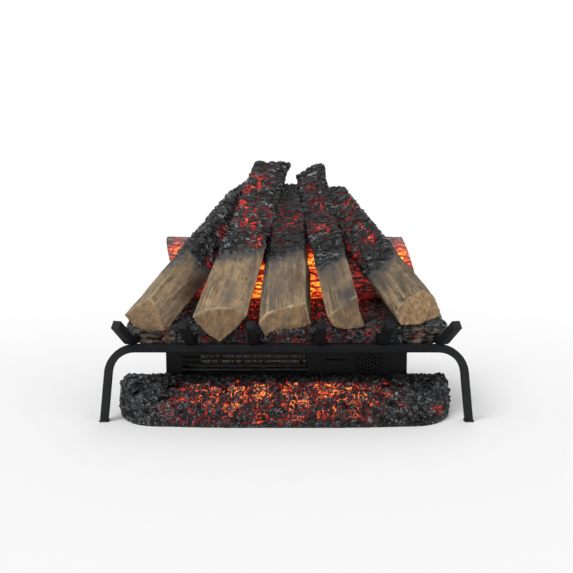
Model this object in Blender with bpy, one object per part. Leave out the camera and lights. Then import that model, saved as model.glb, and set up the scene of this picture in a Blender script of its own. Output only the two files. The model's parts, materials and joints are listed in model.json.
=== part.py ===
"""Electric log set: grate, heater box, ember bed, six logs and a floor ember mat, all at real size.

Metres, +Z up, +X to the right, +Y to the back. Places are laid out from the rail's front face at Y = 0,
and the frame empty at the end moves the whole set so that its box is centred on the origin.
"""
import math

import bmesh
import bpy
from mathutils import Matrix, Vector, noise

# Clearances
GAP = 0.0003
SEAT_GAP = 0.0004
SEAT_REACH = 0.0008
OVERRUN = 0.010

NOISE_SEED = 7

# Grate: rail, legs, bars
RAIL_BAR = 0.0127
RAIL_TOP = 0.1274
RAIL_BEND_RADIUS = 0.0437
LEG_SPREAD_TOP = 0.2847
LEG_SPREAD_FOOT = 0.2977
LEG_CAP_HEIGHT = 0.0030
LEG_CAP_WIDTH = 0.0155
LEG_CAP_BEVEL = 0.0008
GRATE_BAR = 0.0140
GRATE_BAR_BEVEL = 0.0008
BAR_PLACE_SHARES = (-0.889, -0.546, -0.189, 0.189, 0.546, 0.889)
FAN_ANGLE = math.radians(20)
FAN_SHARES = (1.0, 0.51, 0.145, -0.145, -0.51, -1.0)
FINGER_ANGLE = math.radians(38)
FINGER_LENGTH = 0.0515
FINGER_BEND_RADIUS = 0.0120
BAR_LENGTH_BEHIND = 0.1380
REAR_RAIL_THICKNESS = 0.0030
REAR_RAIL_WIDTH = 0.0180
REAR_RAIL_OVERHANG = 0.0040

# Heater box
SHEET = 0.0012
BOX_FRONT = 0.1000
BOX_WIDTH = 0.4160
BOX_DEPTH = 0.1500
BOX_FLANGE = 0.0080
LID_FLANGE = 0.0100
RUBBER_FOOT_HEIGHT = 0.0060
RUBBER_FOOT_RADIUS = 0.0090
RUBBER_FOOT_TIP_RADIUS = 0.0081
RUBBER_FOOT_INSET = 0.0180
SCREW_HEAD_RADIUS = 0.0036
SCREW_HEAD_HEIGHT = 0.0022
SCREW_SHANK_RADIUS = 0.0017
SCREW_SHANK_LENGTH = 0.0070
SCREW_INSET = 0.0060

# Outlet slots, seen from the front
SLOT_END_MARGIN = 0.0280
SLOT_DOOR_MARGIN = 0.0309
SLOT_COUNT = 6
SLOT_PITCH = 0.0091
SLOT_HEIGHT = 0.0051
SLOT_LOWEST = 0.0618

# Speaker
SPEAKER_FROM_END = 0.0655
SPEAKER_Z = 0.0820
SPEAKER_RINGS = 4
HOLES_PER_RING = 6
SPEAKER_HOLE_PITCH = 0.0062
SPEAKER_HOLE_RADIUS = 0.0020
SPEAKER_RADIUS = 0.0300
SPEAKER_DEPTH = 0.0180
SPEAKER_RIM = 0.0050
SPEAKER_WALL = 0.0014
CONE_DEPTH = 0.0110
CONE_WALL = 0.0010
CONE_THROAT_RADIUS = 0.0080
CONE_CAP_RISE = 0.0040
CONE_CAP_SHOULDER_SHARE = 0.67
BASKET_THROAT_RADIUS = 0.0136
MAGNET_RADIUS = 0.0170
MAGNET_HEIGHT = 0.0090

# Control door, tray, buttons and board
DOOR_WIDTH = 0.0360
DOOR_HEIGHT = 0.0262
DOOR_NOTCH_WIDTH = 0.0100
DOOR_NOTCH_HEIGHT = 0.0025
DOOR_FROM_END = 0.1237
DOOR_TOP = 0.0847
DOOR_TOP_GAP = 0.0012
DOOR_THICKNESS = 0.0014
DOOR_BARREL_RADIUS = 0.0023
DOOR_PIN_RADIUS = 0.0009
DOOR_PIN_CLEARANCE = 0.0001
TRAY_WALL = 0.0012
TRAY_DEPTH = 0.0085
BUTTON_RADIUS = 0.0036
BUTTON_FACE_RADIUS = 0.0029
BUTTON_FLANGE = 0.0010
BUTTON_FLANGE_HEIGHT = 0.0009
BUTTON_PROUD = 0.0024
BUTTON_PITCH = 0.0110
BUTTON_TRAVEL = 0.0015
BUTTON_DROP = 0.0155
BOARD_THICKNESS = 0.0016
BOARD_STANDOFF = 0.0046
BOARD_POST_RADIUS = 0.0018

# Blower, duct and heating element
WHEEL_Y_BEHIND_FRONT = 0.0880
WHEEL_Z = 0.0780
WHEEL_RADIUS = 0.0260
WHEEL_BLADES = 16
WHEEL_BLADE_DEPTH = 0.0085
WHEEL_BLADE_THICKNESS = 0.0009
WHEEL_BLADE_TURN = math.radians(28)
WHEEL_DISC = 0.0015
WHEEL_SHAFT_RADIUS = 0.0025
WHEEL_SHAFT_CLEARANCE = 0.0001
WHEEL_END_CLEARANCE = 0.0040
DUCT_CLEARANCE = 0.0050
DUCT_INLET_HEIGHT = 0.0300
DUCT_SIDE_MARGIN = 0.0040
MOTOR_RADIUS = 0.0190
MOTOR_LENGTH = 0.0220
BEARING_RADIUS = 0.0070
BEARING_LENGTH = 0.0050
ELEMENT_LEFT_MARGIN = 0.0280
ELEMENT_RIGHT_MARGIN = 0.0004
ELEMENT_BOTTOM = 0.0725
ELEMENT_TOP = 0.1060
ELEMENT_BEHIND_FRONT = 0.0060
ELEMENT_DEPTH = 0.0120
ELEMENT_FRAME_WALL = 0.0030
FIN_PITCH = 0.0036
FIN_THICKNESS = 0.0005
FIN_INSET = 0.0020
FINS_PER_PITCH = 2
CUTOUT_RADIUS = 0.0075
CUTOUT_HEIGHT = 0.0050
CUTOUT_SHIFT = 0.0123

# Supply board, rocker and gland
POWER_BOARD_WIDTH = 0.0620
POWER_BOARD_DEPTH = 0.0560
POWER_BOARD_FROM_END = 0.0520
POWER_BOARD_BACK_MARGIN = 0.0140
POWER_BOARD_STANDOFF = 0.0060
POWER_BOARD_POST_RADIUS = 0.0025
TRANSFORMER_WIDTH = 0.0260
TRANSFORMER_HEIGHT = 0.0220
RELAY_WIDTH = 0.0180
RELAY_HEIGHT = 0.0150
CAPACITOR_RADIUS = 0.0060
CAPACITOR_HEIGHT = 0.0180
ROCKER_WIDTH = 0.0130
ROCKER_HEIGHT = 0.0190
ROCKER_TILT = math.radians(8)
ROCKER_THICKNESS = 0.0050
ROCKER_RIM = 0.0022
ROCKER_FRAME_DEPTH = 0.0140
ROCKER_FROM_END = 0.0980
ROCKER_Z = 0.0800
ROCKER_CLEARANCE = 0.0006
GLAND_FROM_END = 0.0380
GLAND_Z = 0.0330
GLAND_BORE_RADIUS = 0.0038
GLAND_NECK_RADIUS = 0.0066
GLAND_FLANGE_RADIUS = 0.0100
GLAND_FLANGE_HEIGHT = 0.0030
GLAND_LENGTH = 0.0120
INLET_SLOTS = 7
INLET_PITCH = 0.0100
INLET_SLOT_HEIGHT = 0.0040
INLET_END_MARGIN = 0.0380
INLET_ROCKER_MARGIN = 0.0800
INLET_LOWEST = 0.0480

# Flicker spindle and lamps, between the lid and the ember bed
SPINDLE_Y_BEHIND_FRONT = 0.0700
SPINDLE_HEIGHT = 0.0190
SPINDLE_RADIUS = 0.0020
SPINDLE_HALF_LENGTH = 0.1400
VANE_RADIUS = 0.0120
VANE_WIDTH = 0.0150
VANE_THICKNESS = 0.0007
VANE_COUNT = 9
VANE_TURN = math.radians(50)
FLICKER_MOTOR_RADIUS = 0.0130
FLICKER_MOTOR_LENGTH = 0.0160
FLICKER_STAND_THICKNESS = 0.0040
FLICKER_STAND_WIDTH = 0.0160
SPINDLE_END_CLEARANCE = 0.0008
SPINDLE_BORE_CLEARANCE = 0.0001
LAMP_BOARD_HALF_LENGTH = 0.1500
LAMP_BOARD_WIDTH = 0.0240
LAMP_BOARD_BACK_MARGIN = 0.0260
LAMP_COUNT = 10
LAMP_RADIUS = 0.0025
LAMP_HEIGHT = 0.0035

# Ember bed
BED_FRONT = 0.0145
BED_DEPTH = 0.2230
BED_HALF_WIDTH = 0.2720
BED_WALL = 0.0050
BED_FRONT_HEIGHT = 0.0225
BED_REAR_HEIGHT = 0.0545
BED_EDGE_DROP = 0.0025
BED_END_DROP_SHARE = 0.62
BED_END_START_SHARE = 0.80
BED_END_FADE_SHARE = 0.33
BED_SPINE_SHARE = 0.60
BED_SPINE_WIDTH_SHARE = 0.94
BED_RING_SHARES = (0.0, 0.10, 0.28, 0.50, 0.72, 0.92)
BED_EDGE_PARTS = 2
BED_LUMP = 0.0022
BED_LUMP_LENGTH = 0.0280
BED_OUTLINE_SHARES = (
    (-0.904, 0.0), (-0.45, 0.0), (0.0, 0.0), (0.45, 0.0), (0.904, 0.0), (0.985, 0.13), (1.0, 0.30),
    (1.0, 0.72), (0.96, 0.88), (0.86, 0.985), (0.45, 1.0), (0.0, 1.0), (-0.45, 1.0),
    (-0.86, 0.985), (-0.96, 0.88), (-1.0, 0.72), (-1.0, 0.30), (-0.985, 0.13),
)
BED_RISE_SHARES = ((0.0, 0.0), (0.20, 0.33), (0.55, 0.95), (0.70, 1.0), (0.90, 0.85), (1.0, 0.45))

# Floor ember mat
MAT_BACK = 0.0900
MAT_DEPTH = 0.1260
MAT_HALF_WIDTH = 0.2785
MAT_X = -0.0030
MAT_HEIGHT = 0.0580
MAT_RIM = 0.0025
MAT_WALL = 0.0040
MAT_LUMP = 0.0022
MAT_LUMP_LENGTH = 0.0200
MAT_SIDE_POWER = 4.5
MAT_FRONT_POWER = 2.6
MAT_SPINE_SHARE = 0.965
MAT_SAMPLES = 720
MAT_STEPS = 62
MAT_RINGS = 11
MAT_COAL_RELIEF = 0.0030
MAT_COAL_LENGTH = 0.0095
MAT_LUMP_FADE_SHARE = 0.25
MAT_SIDE_BULGE = 0.0040
MAT_BASE_THICKNESS = 0.0020
MAT_LAMP_BOARD_HALF_LENGTH = 0.1500
MAT_LAMP_BOARD_WIDTH = 0.0300
MAT_LAMP_BOARD_BACK_MARGIN = 0.0300
MAT_PLUG_WIDTH = 0.0240
MAT_PLUG_HEIGHT = 0.0100
MAT_PLUG_Z = 0.0300
MAT_SOCKET_RIM = 0.0020
MAT_SOCKET_DEPTH = 0.0080
MAT_PLUG_TONGUE = 0.0050

# Logs: all five stand on one slope, given by where its front passes and how steeply it rises
SLOPE_ANGLE = math.radians(50)
SLOPE_FRONT = -0.0150
SLOPE_HEIGHT = 0.1750
LOG_LENGTH = 0.3230
LOG_DEPTH = 0.0490
LOG_ROUGHNESS = 0.0014
LOG_ROUGH_LENGTH = 0.0220
LOG_STATIONS = 4
LOG_EDGE_PARTS = 2
LOG_OVERLENGTH_SHARE = 0.30
BARK_START_SHARE = 0.34
BARK_FULL_SHARE = 0.42
BARK_PLATE_LENGTH = 0.0095
BARK_RELIEF = 0.0036
BARK_RELIEF_LENGTH = 0.0080

REAR_LOG_Y = 0.1695
REAR_LOG_Z = 0.2360
REAR_LOG_RADIUS = 0.0560
REAR_LOG_LEFT = -0.1965
REAR_LOG_RIGHT = 0.2200
REAR_LOG_STATIONS = 13
REAR_LOG_SIDES = 18
REAR_LOG_END_LEAN = math.radians(16)
REAR_LOG_ROUGHNESS = 0.0022
REAR_LOG_WALL = 0.0060
LIGHT_SLOT_WIDTH = 0.0240
LIGHT_SLOT_HALF_LENGTH = 0.1500

# Each log's long edges, each as its place from the middle at the foot and at the head, in shares of the leg
# spread, and its depth behind the slope, in shares of the log depth. A cut names three edges by number, each
# with the share of the log length at which the saw crosses it.
LOG_SHARES = {
    "log_1": {
        "edges": ((-0.984, -0.285, 0.67), (-0.936, -0.225, 0.42), (-0.874, -0.176, 0.25),
                  (-0.780, -0.085, 0.57), (-0.692, -0.007, 1.02), (-0.790, -0.070, 1.07),
                  (-0.915, -0.210, 0.88)),
        "foot": ((0, 0.075), (2, 0.136), (4, -0.010)),
        "head": ((0, 0.87), (2, 0.92), (4, 0.90)),
    },
    "log_2": {
        "edges": ((-0.542, -0.212, 0.24), (-0.478, -0.176, 0.06), (-0.383, -0.098, 0.0), (-0.295, -0.028, 0.06),
                  (-0.230, 0.018, 0.24), (-0.281, -0.022, 0.61), (-0.365, -0.095, 1.0), (-0.474, -0.158, 0.64)),
        "foot": ((0, 0.022), (4, 0.031), (6, -0.059)),
        "head": ((0, 0.985), (4, 1.015), (6, 0.975)),
    },
    "log_3": {
        "edges": ((-0.158, -0.102, 0.53), (-0.116, -0.063, 0.29), (0.0, 0.005, 0.25), (0.111, 0.112, 0.29),
                  (0.153, 0.128, 1.18), (0.035, 0.028, 1.25), (-0.119, -0.077, 1.02)),
        "foot": ((0, 0.010), (3, 0.110), (6, -0.032)),
        "head": ((0, 0.875), (3, 0.88), (5, 0.89)),
    },
    "log_4": {
        "edges": ((0.230, 0.044, 0.24), (0.330, 0.148, 0.13), (0.425, 0.228, 0.06), (0.450, 0.228, 0.90),
                  (0.344, 0.169, 0.78), (0.267, 0.074, 0.57)),
        "foot": ((0, 0.019), (2, 0.130), (3, 0.025)),
        "head": ((0, 0.93), (2, 1.005), (3, 0.98)),
    },
    "log_5": {
        "edges": ((0.650, 0.042, 0.45), (0.702, 0.088, 0.29), (0.801, 0.176, 0.25), (0.906, 0.274, 0.29),
                  (0.973, 0.295, 0.53), (0.972, 0.292, 1.04), (0.800, 0.166, 0.98), (0.664, 0.056, 0.76)),
        "foot": ((0, 0.053), (4, 0.170), (5, 0.102)),
        "head": ((0, 0.78), (2, 0.855), (4, 0.825)),
    },
}

# Sides of round pieces
FINE_SIDES = 24
SIDES = 16
HOLE_SIDES = 6
BEND_STEPS = 8

for old in list(bpy.data.objects):
    bpy.data.objects.remove(old, do_unlink=True)

noise.seed_set(NOISE_SEED)

frame_empty = bpy.data.objects.new("set_frame", None)
bpy.context.scene.collection.objects.link(frame_empty)


# Basic helpers

def material(name, colour, roughness, metallic=0.0):
    """A Principled material in the piece's own colour."""
    made = bpy.data.materials.new(name)
    made.use_nodes = True
    shader = made.node_tree.nodes["Principled BSDF"]
    shader.inputs["Base Color"].default_value = (*colour, 1.0)
    shader.inputs["Roughness"].default_value = roughness
    shader.inputs["Metallic"].default_value = metallic
    made.diffuse_color = (*colour, 1.0)
    return made


FINISHES = {
    "black_steel": ((0.022, 0.024, 0.027), 0.55, 0.3),
    "black_sheet": ((0.018, 0.020, 0.021), 0.45, 0.3),
    "black_plastic": ((0.020, 0.020, 0.020), 0.5, 0.0),
    "rubber": ((0.015, 0.015, 0.015), 0.9, 0.0),
    "zinc_sheet": ((0.55, 0.56, 0.57), 0.4, 0.9),
    "aluminium": ((0.75, 0.75, 0.76), 0.35, 1.0),
    "ceramic": ((0.80, 0.78, 0.72), 0.6, 0.0),
    "circuit_board": ((0.03, 0.16, 0.07), 0.5, 0.0),
    "paper_cone": ((0.05, 0.05, 0.05), 0.9, 0.0),
    "ferrite": ((0.06, 0.06, 0.065), 0.6, 0.2),
    "foil": ((0.85, 0.83, 0.78), 0.2, 1.0),
    "charred_ember": ((0.035, 0.030, 0.030), 0.8, 0.0),
    "split_wood": ((0.32, 0.22, 0.13), 0.7, 0.0),
    "glow_log": ((0.75, 0.22, 0.04), 0.5, 0.0),
}


def add_object(name, mesh, finish, smooth=False):
    """Link a mesh as a named piece under the set's frame."""
    piece = bpy.data.objects.new(name, mesh)
    bpy.context.scene.collection.objects.link(piece)
    piece.parent = frame_empty
    if finish:
        mesh.materials.append(material(name, *FINISHES[finish]))
    if smooth:
        mesh.shade_smooth()
        mesh.set_sharp_from_angle(angle=math.radians(35))
    return piece


def mesh_from(shape, name):
    """Turn a bmesh into a mesh with its faces pointing out."""
    bmesh.ops.recalc_face_normals(shape, faces=shape.faces)
    mesh = bpy.data.meshes.new(name)
    shape.to_mesh(mesh)
    shape.free()
    return mesh


def add_box(shape, low, high, bevel=0.0):
    """Add a box between two corners to a bmesh."""
    size = Vector(high) - Vector(low)
    centre = (Vector(high) + Vector(low)) / 2
    place = Matrix.Translation(centre) @ Matrix.Diagonal((*size, 1))
    made = bmesh.ops.create_cube(shape, size=1, matrix=place)
    if bevel:
        edges = list({edge for vert in made["verts"] for edge in vert.link_edges})
        bmesh.ops.bevel(shape, geom=edges, offset=bevel, segments=1, affect="EDGES")


def axis_turn(axis):
    """Rotation that carries +Z onto +X or +Y, or keeps it."""
    if axis == "X":
        return Matrix.Rotation(math.radians(90), 4, "Y")
    if axis == "Y":
        return Matrix.Rotation(math.radians(-90), 4, "X")
    return Matrix.Identity(4)


def add_cylinder(shape, centre, radius, length, axis="Z", sides=SIDES, radius_end=None):
    """Add a cylinder or cone, centred at centre, along an axis."""
    place = Matrix.Translation(Vector(centre)) @ axis_turn(axis)
    end = radius if radius_end is None else radius_end
    bmesh.ops.create_cone(shape, cap_ends=True, segments=sides, radius1=radius, radius2=end,
                          depth=length, matrix=place)


def add_prism(shape, outline, low, high, plane):
    """Extrude a closed outline of pairs; plane XZ runs along Y and plane YZ along X."""
    def point(pair, along):
        if plane == "XZ":
            return Vector((pair[0], along, pair[1]))
        if plane == "YZ":
            return Vector((along, pair[0], pair[1]))
        return Vector((pair[0], pair[1], along))
    first = [shape.verts.new(point(pair, low)) for pair in outline]
    second = [shape.verts.new(point(pair, high)) for pair in outline]
    count = len(outline)
    shape.faces.new(first)
    shape.faces.new(list(reversed(second)))
    for i in range(count):
        after = (i + 1) % count
        shape.faces.new((first[i], second[i], second[after], first[after]))


def add_turned(shape, profile, centre, axis, sides=FINE_SIDES):
    """Spin a closed profile of (radius, along) pairs about an axis through centre."""
    place = Matrix.Translation(Vector(centre)) @ axis_turn(axis)
    rings = []
    for step in range(sides):
        angle = 2 * math.pi * step / sides
        ring = [place @ Vector((r * math.cos(angle), r * math.sin(angle), z)) for r, z in profile]
        rings.append([shape.verts.new(co) for co in ring])
    count = len(profile)
    for step in range(sides):
        here = rings[step]
        there = rings[(step + 1) % sides]
        for i in range(count):
            after = (i + 1) % count
            shape.faces.new((here[i], here[after], there[after], there[i]))


def piece_from(name, finish, builder, smooth=False):
    """Build one piece with a function that fills a bmesh."""
    shape = bmesh.new()
    builder(shape)
    return add_object(name, mesh_from(shape, name), finish, smooth)


def box_piece(name, finish, low, high, bevel=0.0):
    return piece_from(name, finish, lambda shape: add_box(shape, low, high, bevel))


def cutter_from(name, builder):
    """A shape that only cuts: hidden in renders and drawn as wire."""
    cutter = piece_from(name, None, builder)
    cutter.hide_render = True
    cutter.display_type = "WIRE"
    return cutter


def combine(piece, other, operation="DIFFERENCE"):
    """Cut a piece by another, or join the other to it."""
    step = piece.modifiers.new(operation.lower() + "_" + other.name, "BOOLEAN")
    step.operation = operation
    step.solver = "EXACT"
    step.object = other


def cut(piece, builder):
    combine(piece, cutter_from(piece.name + "_cutter", builder))


def join(piece, builder):
    combine(piece, cutter_from(piece.name + "_joined", builder), "UNION")


def set_origin(piece, point):
    """Put a piece's origin on its joint axis without moving the piece."""
    piece.data.transform(Matrix.Translation(-Vector(point)))
    piece.location = Vector(point)


def bent_outline(path, radius, thickness, level_ends=False):
    """Outline of a flat bar whose centreline follows a path with rounded corners."""
    points = [Vector(pair) for pair in path]
    line = [points[0]]
    for before, corner, after in zip(points, points[1:], points[2:]):
        way_in = (corner - before).normalized()
        way_out = (after - corner).normalized()
        turn = way_in.angle_signed(way_out)
        reach = radius * abs(math.tan(turn / 2))
        start = corner - way_in * reach
        side = Vector((way_in.y, -way_in.x)) * (1 if turn > 0 else -1)
        centre = start + side * radius
        for step in range(BEND_STEPS + 1):
            spin = Matrix.Rotation(-turn * step / BEND_STEPS, 2)
            line.append(centre + spin @ (start - centre))
    line.append(points[-1])
    left = []
    right = []
    for i, here in enumerate(line):
        back = line[max(i - 1, 0)]
        ahead = line[min(i + 1, len(line) - 1)]
        along = (ahead - back).normalized()
        normal = Vector((-along.y, along.x))
        offset = normal * thickness / 2
        if level_ends and i in (0, len(line) - 1):
            sign = 1 if normal.x > 0 else -1
            offset = Vector((sign * thickness / 2 / abs(normal.x), 0))
        left.append(here + offset)
        right.append(here - offset)
    return [tuple(co) for co in left + list(reversed(right))]


def grown_cutter(name, mesh, amount):
    """A copy of a mesh, swollen by amount, that cuts a seat with clearance."""
    def build(shape):
        shape.from_mesh(mesh)
        shape.normal_update()
        moves = [vert.normal * amount * vert.calc_shell_factor() for vert in shape.verts]
        for vert, move in zip(shape.verts, moves):
            vert.co += move
    return cutter_from(name, build)


# Heights and planes that several pieces share

bar_bottom = RAIL_TOP + GAP
bar_top = bar_bottom + GRATE_BAR
lid_top = RAIL_TOP - REAR_RAIL_THICKNESS - GAP
box_bottom = RUBBER_FOOT_HEIGHT + GAP
box_back = BOX_FRONT + BOX_DEPTH
panel_back = BOX_FRONT + SHEET
rear_panel_front = box_back - SHEET
chassis_front = panel_back + GAP
chassis_back = rear_panel_front - GAP
lid_bottom = lid_top - SHEET
floor_top = box_bottom + SHEET
box_half = BOX_WIDTH / 2
speaker_x = box_half - SPEAKER_FROM_END
door_x = box_half - DOOR_FROM_END
door_left = door_x - DOOR_WIDTH / 2
door_right = door_x + DOOR_WIDTH / 2
door_plate_top = DOOR_TOP - DOOR_TOP_GAP
door_bottom = DOOR_TOP - DOOR_HEIGHT
slot_left = -box_half + SLOT_END_MARGIN
slot_right = door_left - SLOT_DOOR_MARGIN
slot_middle = (slot_left + slot_right) / 2
chassis_half = box_half - SHEET - GAP
rocker_x = box_half - ROCKER_FROM_END
gland_x = box_half - GLAND_FROM_END


# Grate

def leg_x(height):
    """Half spread of the leg centreline at a height."""
    share = height / (RAIL_TOP - RAIL_BAR / 2)
    return LEG_SPREAD_FOOT + (LEG_SPREAD_TOP - LEG_SPREAD_FOOT) * share


def make_rail():
    leg_bottom = LEG_CAP_HEIGHT + GAP
    middle = RAIL_TOP - RAIL_BAR / 2
    path = (
        (-leg_x(leg_bottom), leg_bottom), (-LEG_SPREAD_TOP, middle),
        (LEG_SPREAD_TOP, middle), (leg_x(leg_bottom), leg_bottom),
    )
    outline = bent_outline(path, RAIL_BEND_RADIUS, RAIL_BAR, level_ends=True)
    piece_from("grate_front_rail", "black_steel", lambda shape: add_prism(shape, outline, 0, RAIL_BAR, "XZ"))
    half = LEG_CAP_WIDTH / 2
    centre_y = RAIL_BAR / 2
    for side, sign in (("left", -1), ("right", 1)):
        x = sign * leg_x(LEG_CAP_HEIGHT)
        box_piece("leg_foot_" + side, "black_plastic", (x - half, centre_y - half, 0),
                  (x + half, centre_y + half, LEG_CAP_HEIGHT), LEG_CAP_BEVEL)


def make_bars():
    middle = bar_bottom + GRATE_BAR / 2
    tip = Vector((math.cos(FINGER_ANGLE), math.sin(FINGER_ANGLE))) * FINGER_LENGTH
    path = ((BAR_LENGTH_BEHIND, middle), (0, middle), (-tip.x, middle + tip.y))
    outline = bent_outline(path, FINGER_BEND_RADIUS, GRATE_BAR)
    bars = []
    for number, (place, fan) in enumerate(zip(BAR_PLACE_SHARES, FAN_SHARES), start=1):
        def build(shape):
            add_prism(shape, outline, -GRATE_BAR / 2, GRATE_BAR / 2, "YZ")
            turn = Matrix.Rotation(-fan * FAN_ANGLE, 4, "Z")
            shift = Matrix.Translation((place * LEG_SPREAD_TOP, 0, 0))
            bmesh.ops.transform(shape, matrix=shift @ turn, verts=shape.verts)
        bars.append(piece_from("grate_bar_" + str(number), "black_steel", build))
    return bars


def make_rear_rail():
    outer = BAR_PLACE_SHARES[-1] * LEG_SPREAD_TOP - math.tan(FAN_ANGLE) * BAR_LENGTH_BEHIND
    half = outer + GRATE_BAR / 2 + REAR_RAIL_OVERHANG
    back = BAR_LENGTH_BEHIND * math.cos(FAN_ANGLE)
    box_piece("grate_rear_rail", "black_steel", (-half, back - REAR_RAIL_WIDTH, RAIL_TOP - REAR_RAIL_THICKNESS),
              (half, back, RAIL_TOP))


# Heater box

def make_chassis():
    half = chassis_half
    top = lid_bottom - GAP
    chassis = box_piece("housing_chassis", "black_sheet", (-half, chassis_front, box_bottom),
                        (half, chassis_back, top))

    inside_low = (-half + SHEET, chassis_front + SHEET, floor_top)
    inside_high = (half - SHEET, chassis_back - SHEET, top + OVERRUN)
    cut(chassis, lambda shape: add_box(shape, inside_low, inside_high))
    window = half - BOX_FLANGE
    low = floor_top + BOX_FLANGE
    middle = (chassis_front + chassis_back) / 2
    ends = (("front", chassis_front - OVERRUN, middle), ("rear", middle, chassis_back + OVERRUN))
    for name, front, back in ends:
        opening = cutter_from("housing_chassis_" + name, lambda shape: add_box(
            shape, (-window, front, low), (window, back, top + OVERRUN)))
        combine(chassis, opening)
    return chassis


def make_lid():
    half = box_half
    inner = half - SHEET
    low = lid_top - LID_FLANGE
    outline = (
        (-half, low), (-half, lid_top), (half, lid_top), (half, low),
        (inner, low), (inner, lid_bottom), (-inner, lid_bottom), (-inner, low),
    )
    piece_from("housing_top", "black_sheet", lambda shape: add_prism(
        shape, outline, chassis_front, chassis_back, "XZ"))


def speaker_holes():
    """Centres of the round pattern: one hole, then rings of six, twelve and so on."""
    places = [(speaker_x, SPEAKER_Z)]
    for ring in range(1, SPEAKER_RINGS + 1):
        count = HOLES_PER_RING * ring
        for step in range(count):
            angle = 2 * math.pi * step / count
            radius = ring * SPEAKER_HOLE_PITCH
            places.append((speaker_x + radius * math.sin(angle), SPEAKER_Z + radius * math.cos(angle)))
    return places


def make_front_panel():
    half = box_half
    panel = box_piece("front_panel", "black_sheet", (-half, BOX_FRONT, box_bottom), (half, panel_back, lid_top))

    def openings(shape):
        front = BOX_FRONT - OVERRUN
        back = panel_back + OVERRUN
        for row in range(SLOT_COUNT):
            low = SLOT_LOWEST + row * SLOT_PITCH - SLOT_HEIGHT / 2
            add_box(shape, (slot_left, front, low), (slot_right, back, low + SLOT_HEIGHT))
        for x, z in speaker_holes():
            add_cylinder(shape, (x, (front + back) / 2, z), SPEAKER_HOLE_RADIUS, back - front, "Y", HOLE_SIDES)
        add_box(shape, (door_left - GAP, front, door_bottom - GAP), (door_right + GAP, back, DOOR_TOP))
        add_box(shape, socket_corner(-1, front), socket_corner(1, back))
    cut(panel, openings)


def socket_corner(sign, y):
    """A corner of the hole that the mat's socket fills, on one side of its centre."""
    half_width = MAT_PLUG_WIDTH / 2 + MAT_SOCKET_RIM + GAP
    half_height = MAT_PLUG_HEIGHT / 2 + MAT_SOCKET_RIM + GAP
    return (slot_middle + sign * (half_width + GAP), y, MAT_PLUG_Z + sign * (half_height + GAP))


def make_rear_panel():
    half = box_half
    panel = box_piece("rear_panel", "black_sheet", (-half, rear_panel_front, box_bottom),
                      (half, box_back, lid_top))

    inlet_left = -box_half + INLET_END_MARGIN
    inlet_right = rocker_x - INLET_ROCKER_MARGIN

    def openings(shape):
        front = rear_panel_front - OVERRUN
        back = box_back + OVERRUN
        for row in range(INLET_SLOTS):
            low = INLET_LOWEST + row * INLET_PITCH - INLET_SLOT_HEIGHT / 2
            add_box(shape, (inlet_left, front, low), (inlet_right, back, low + INLET_SLOT_HEIGHT))
        add_box(shape, rocker_corner(-1, GAP, front), rocker_corner(1, GAP, back))
        add_cylinder(shape, (gland_x, box_back, GLAND_Z), GLAND_NECK_RADIUS + GAP, 2 * OVERRUN, "Y")
        for x, z in screw_places():
            add_cylinder(shape, (x, box_back, z), SCREW_SHANK_RADIUS + GAP, 2 * OVERRUN, "Y", HOLE_SIDES)
    cut(panel, openings)


def screw_places():
    x = chassis_half - SCREW_INSET
    low = floor_top + SCREW_INSET
    high = lid_bottom - LID_FLANGE - SCREW_INSET
    return [(-x, low), (x, low), (-x, high), (x, high)]


def make_screws(chassis):
    def holes(shape):
        for x, z in screw_places():
            add_cylinder(shape, (x, chassis_back, z), SCREW_SHANK_RADIUS + GAP, 2 * OVERRUN, "Y", HOLE_SIDES)
    cut(chassis, holes)
    for number, (x, z) in enumerate(screw_places(), start=1):
        def build(shape):
            head = box_back + GAP
            profile = (
                (0, -SCREW_SHANK_LENGTH), (SCREW_SHANK_RADIUS, -SCREW_SHANK_LENGTH), (SCREW_SHANK_RADIUS, 0),
                (SCREW_HEAD_RADIUS, 0), (SCREW_HEAD_RADIUS, SCREW_HEAD_HEIGHT / 2), (0, SCREW_HEAD_HEIGHT),
            )
            add_turned(shape, profile, (x, head, z), "Y", SIDES)
            bmesh.ops.remove_doubles(shape, verts=shape.verts, dist=GAP / 10)
        piece_from("rear_screw_" + str(number), "zinc_sheet", build, smooth=True)


def make_rubber_feet():
    x = box_half - RUBBER_FOOT_INSET
    places = [(-x, BOX_FRONT + RUBBER_FOOT_INSET), (x, BOX_FRONT + RUBBER_FOOT_INSET),
              (-x, box_back - RUBBER_FOOT_INSET), (x, box_back - RUBBER_FOOT_INSET)]
    for number, (px, py) in enumerate(places, start=1):
        centre = (px, py, RUBBER_FOOT_HEIGHT / 2)
        piece_from("rubber_foot_" + str(number), "rubber", lambda shape: add_cylinder(
            shape, centre, RUBBER_FOOT_TIP_RADIUS, RUBBER_FOOT_HEIGHT, "Z", SIDES, RUBBER_FOOT_RADIUS),
            smooth=True)


# Controls

pin_y = BOX_FRONT + DOOR_BARREL_RADIUS
pin_z = door_plate_top - DOOR_BARREL_RADIUS
tray_front = panel_back + GAP
tray_back = tray_front + TRAY_DEPTH
tray_plate = tray_back - TRAY_WALL
tray_low = door_bottom - GAP
tray_high = DOOR_TOP + TRAY_WALL
tray_left = door_left - GAP
tray_right = door_right + GAP
button_z = DOOR_TOP - BUTTON_DROP
button_places = [
    ("button_power", door_x - BUTTON_PITCH),
    ("button_flame", door_x),
    ("button_heat", door_x + BUTTON_PITCH),
]


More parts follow.
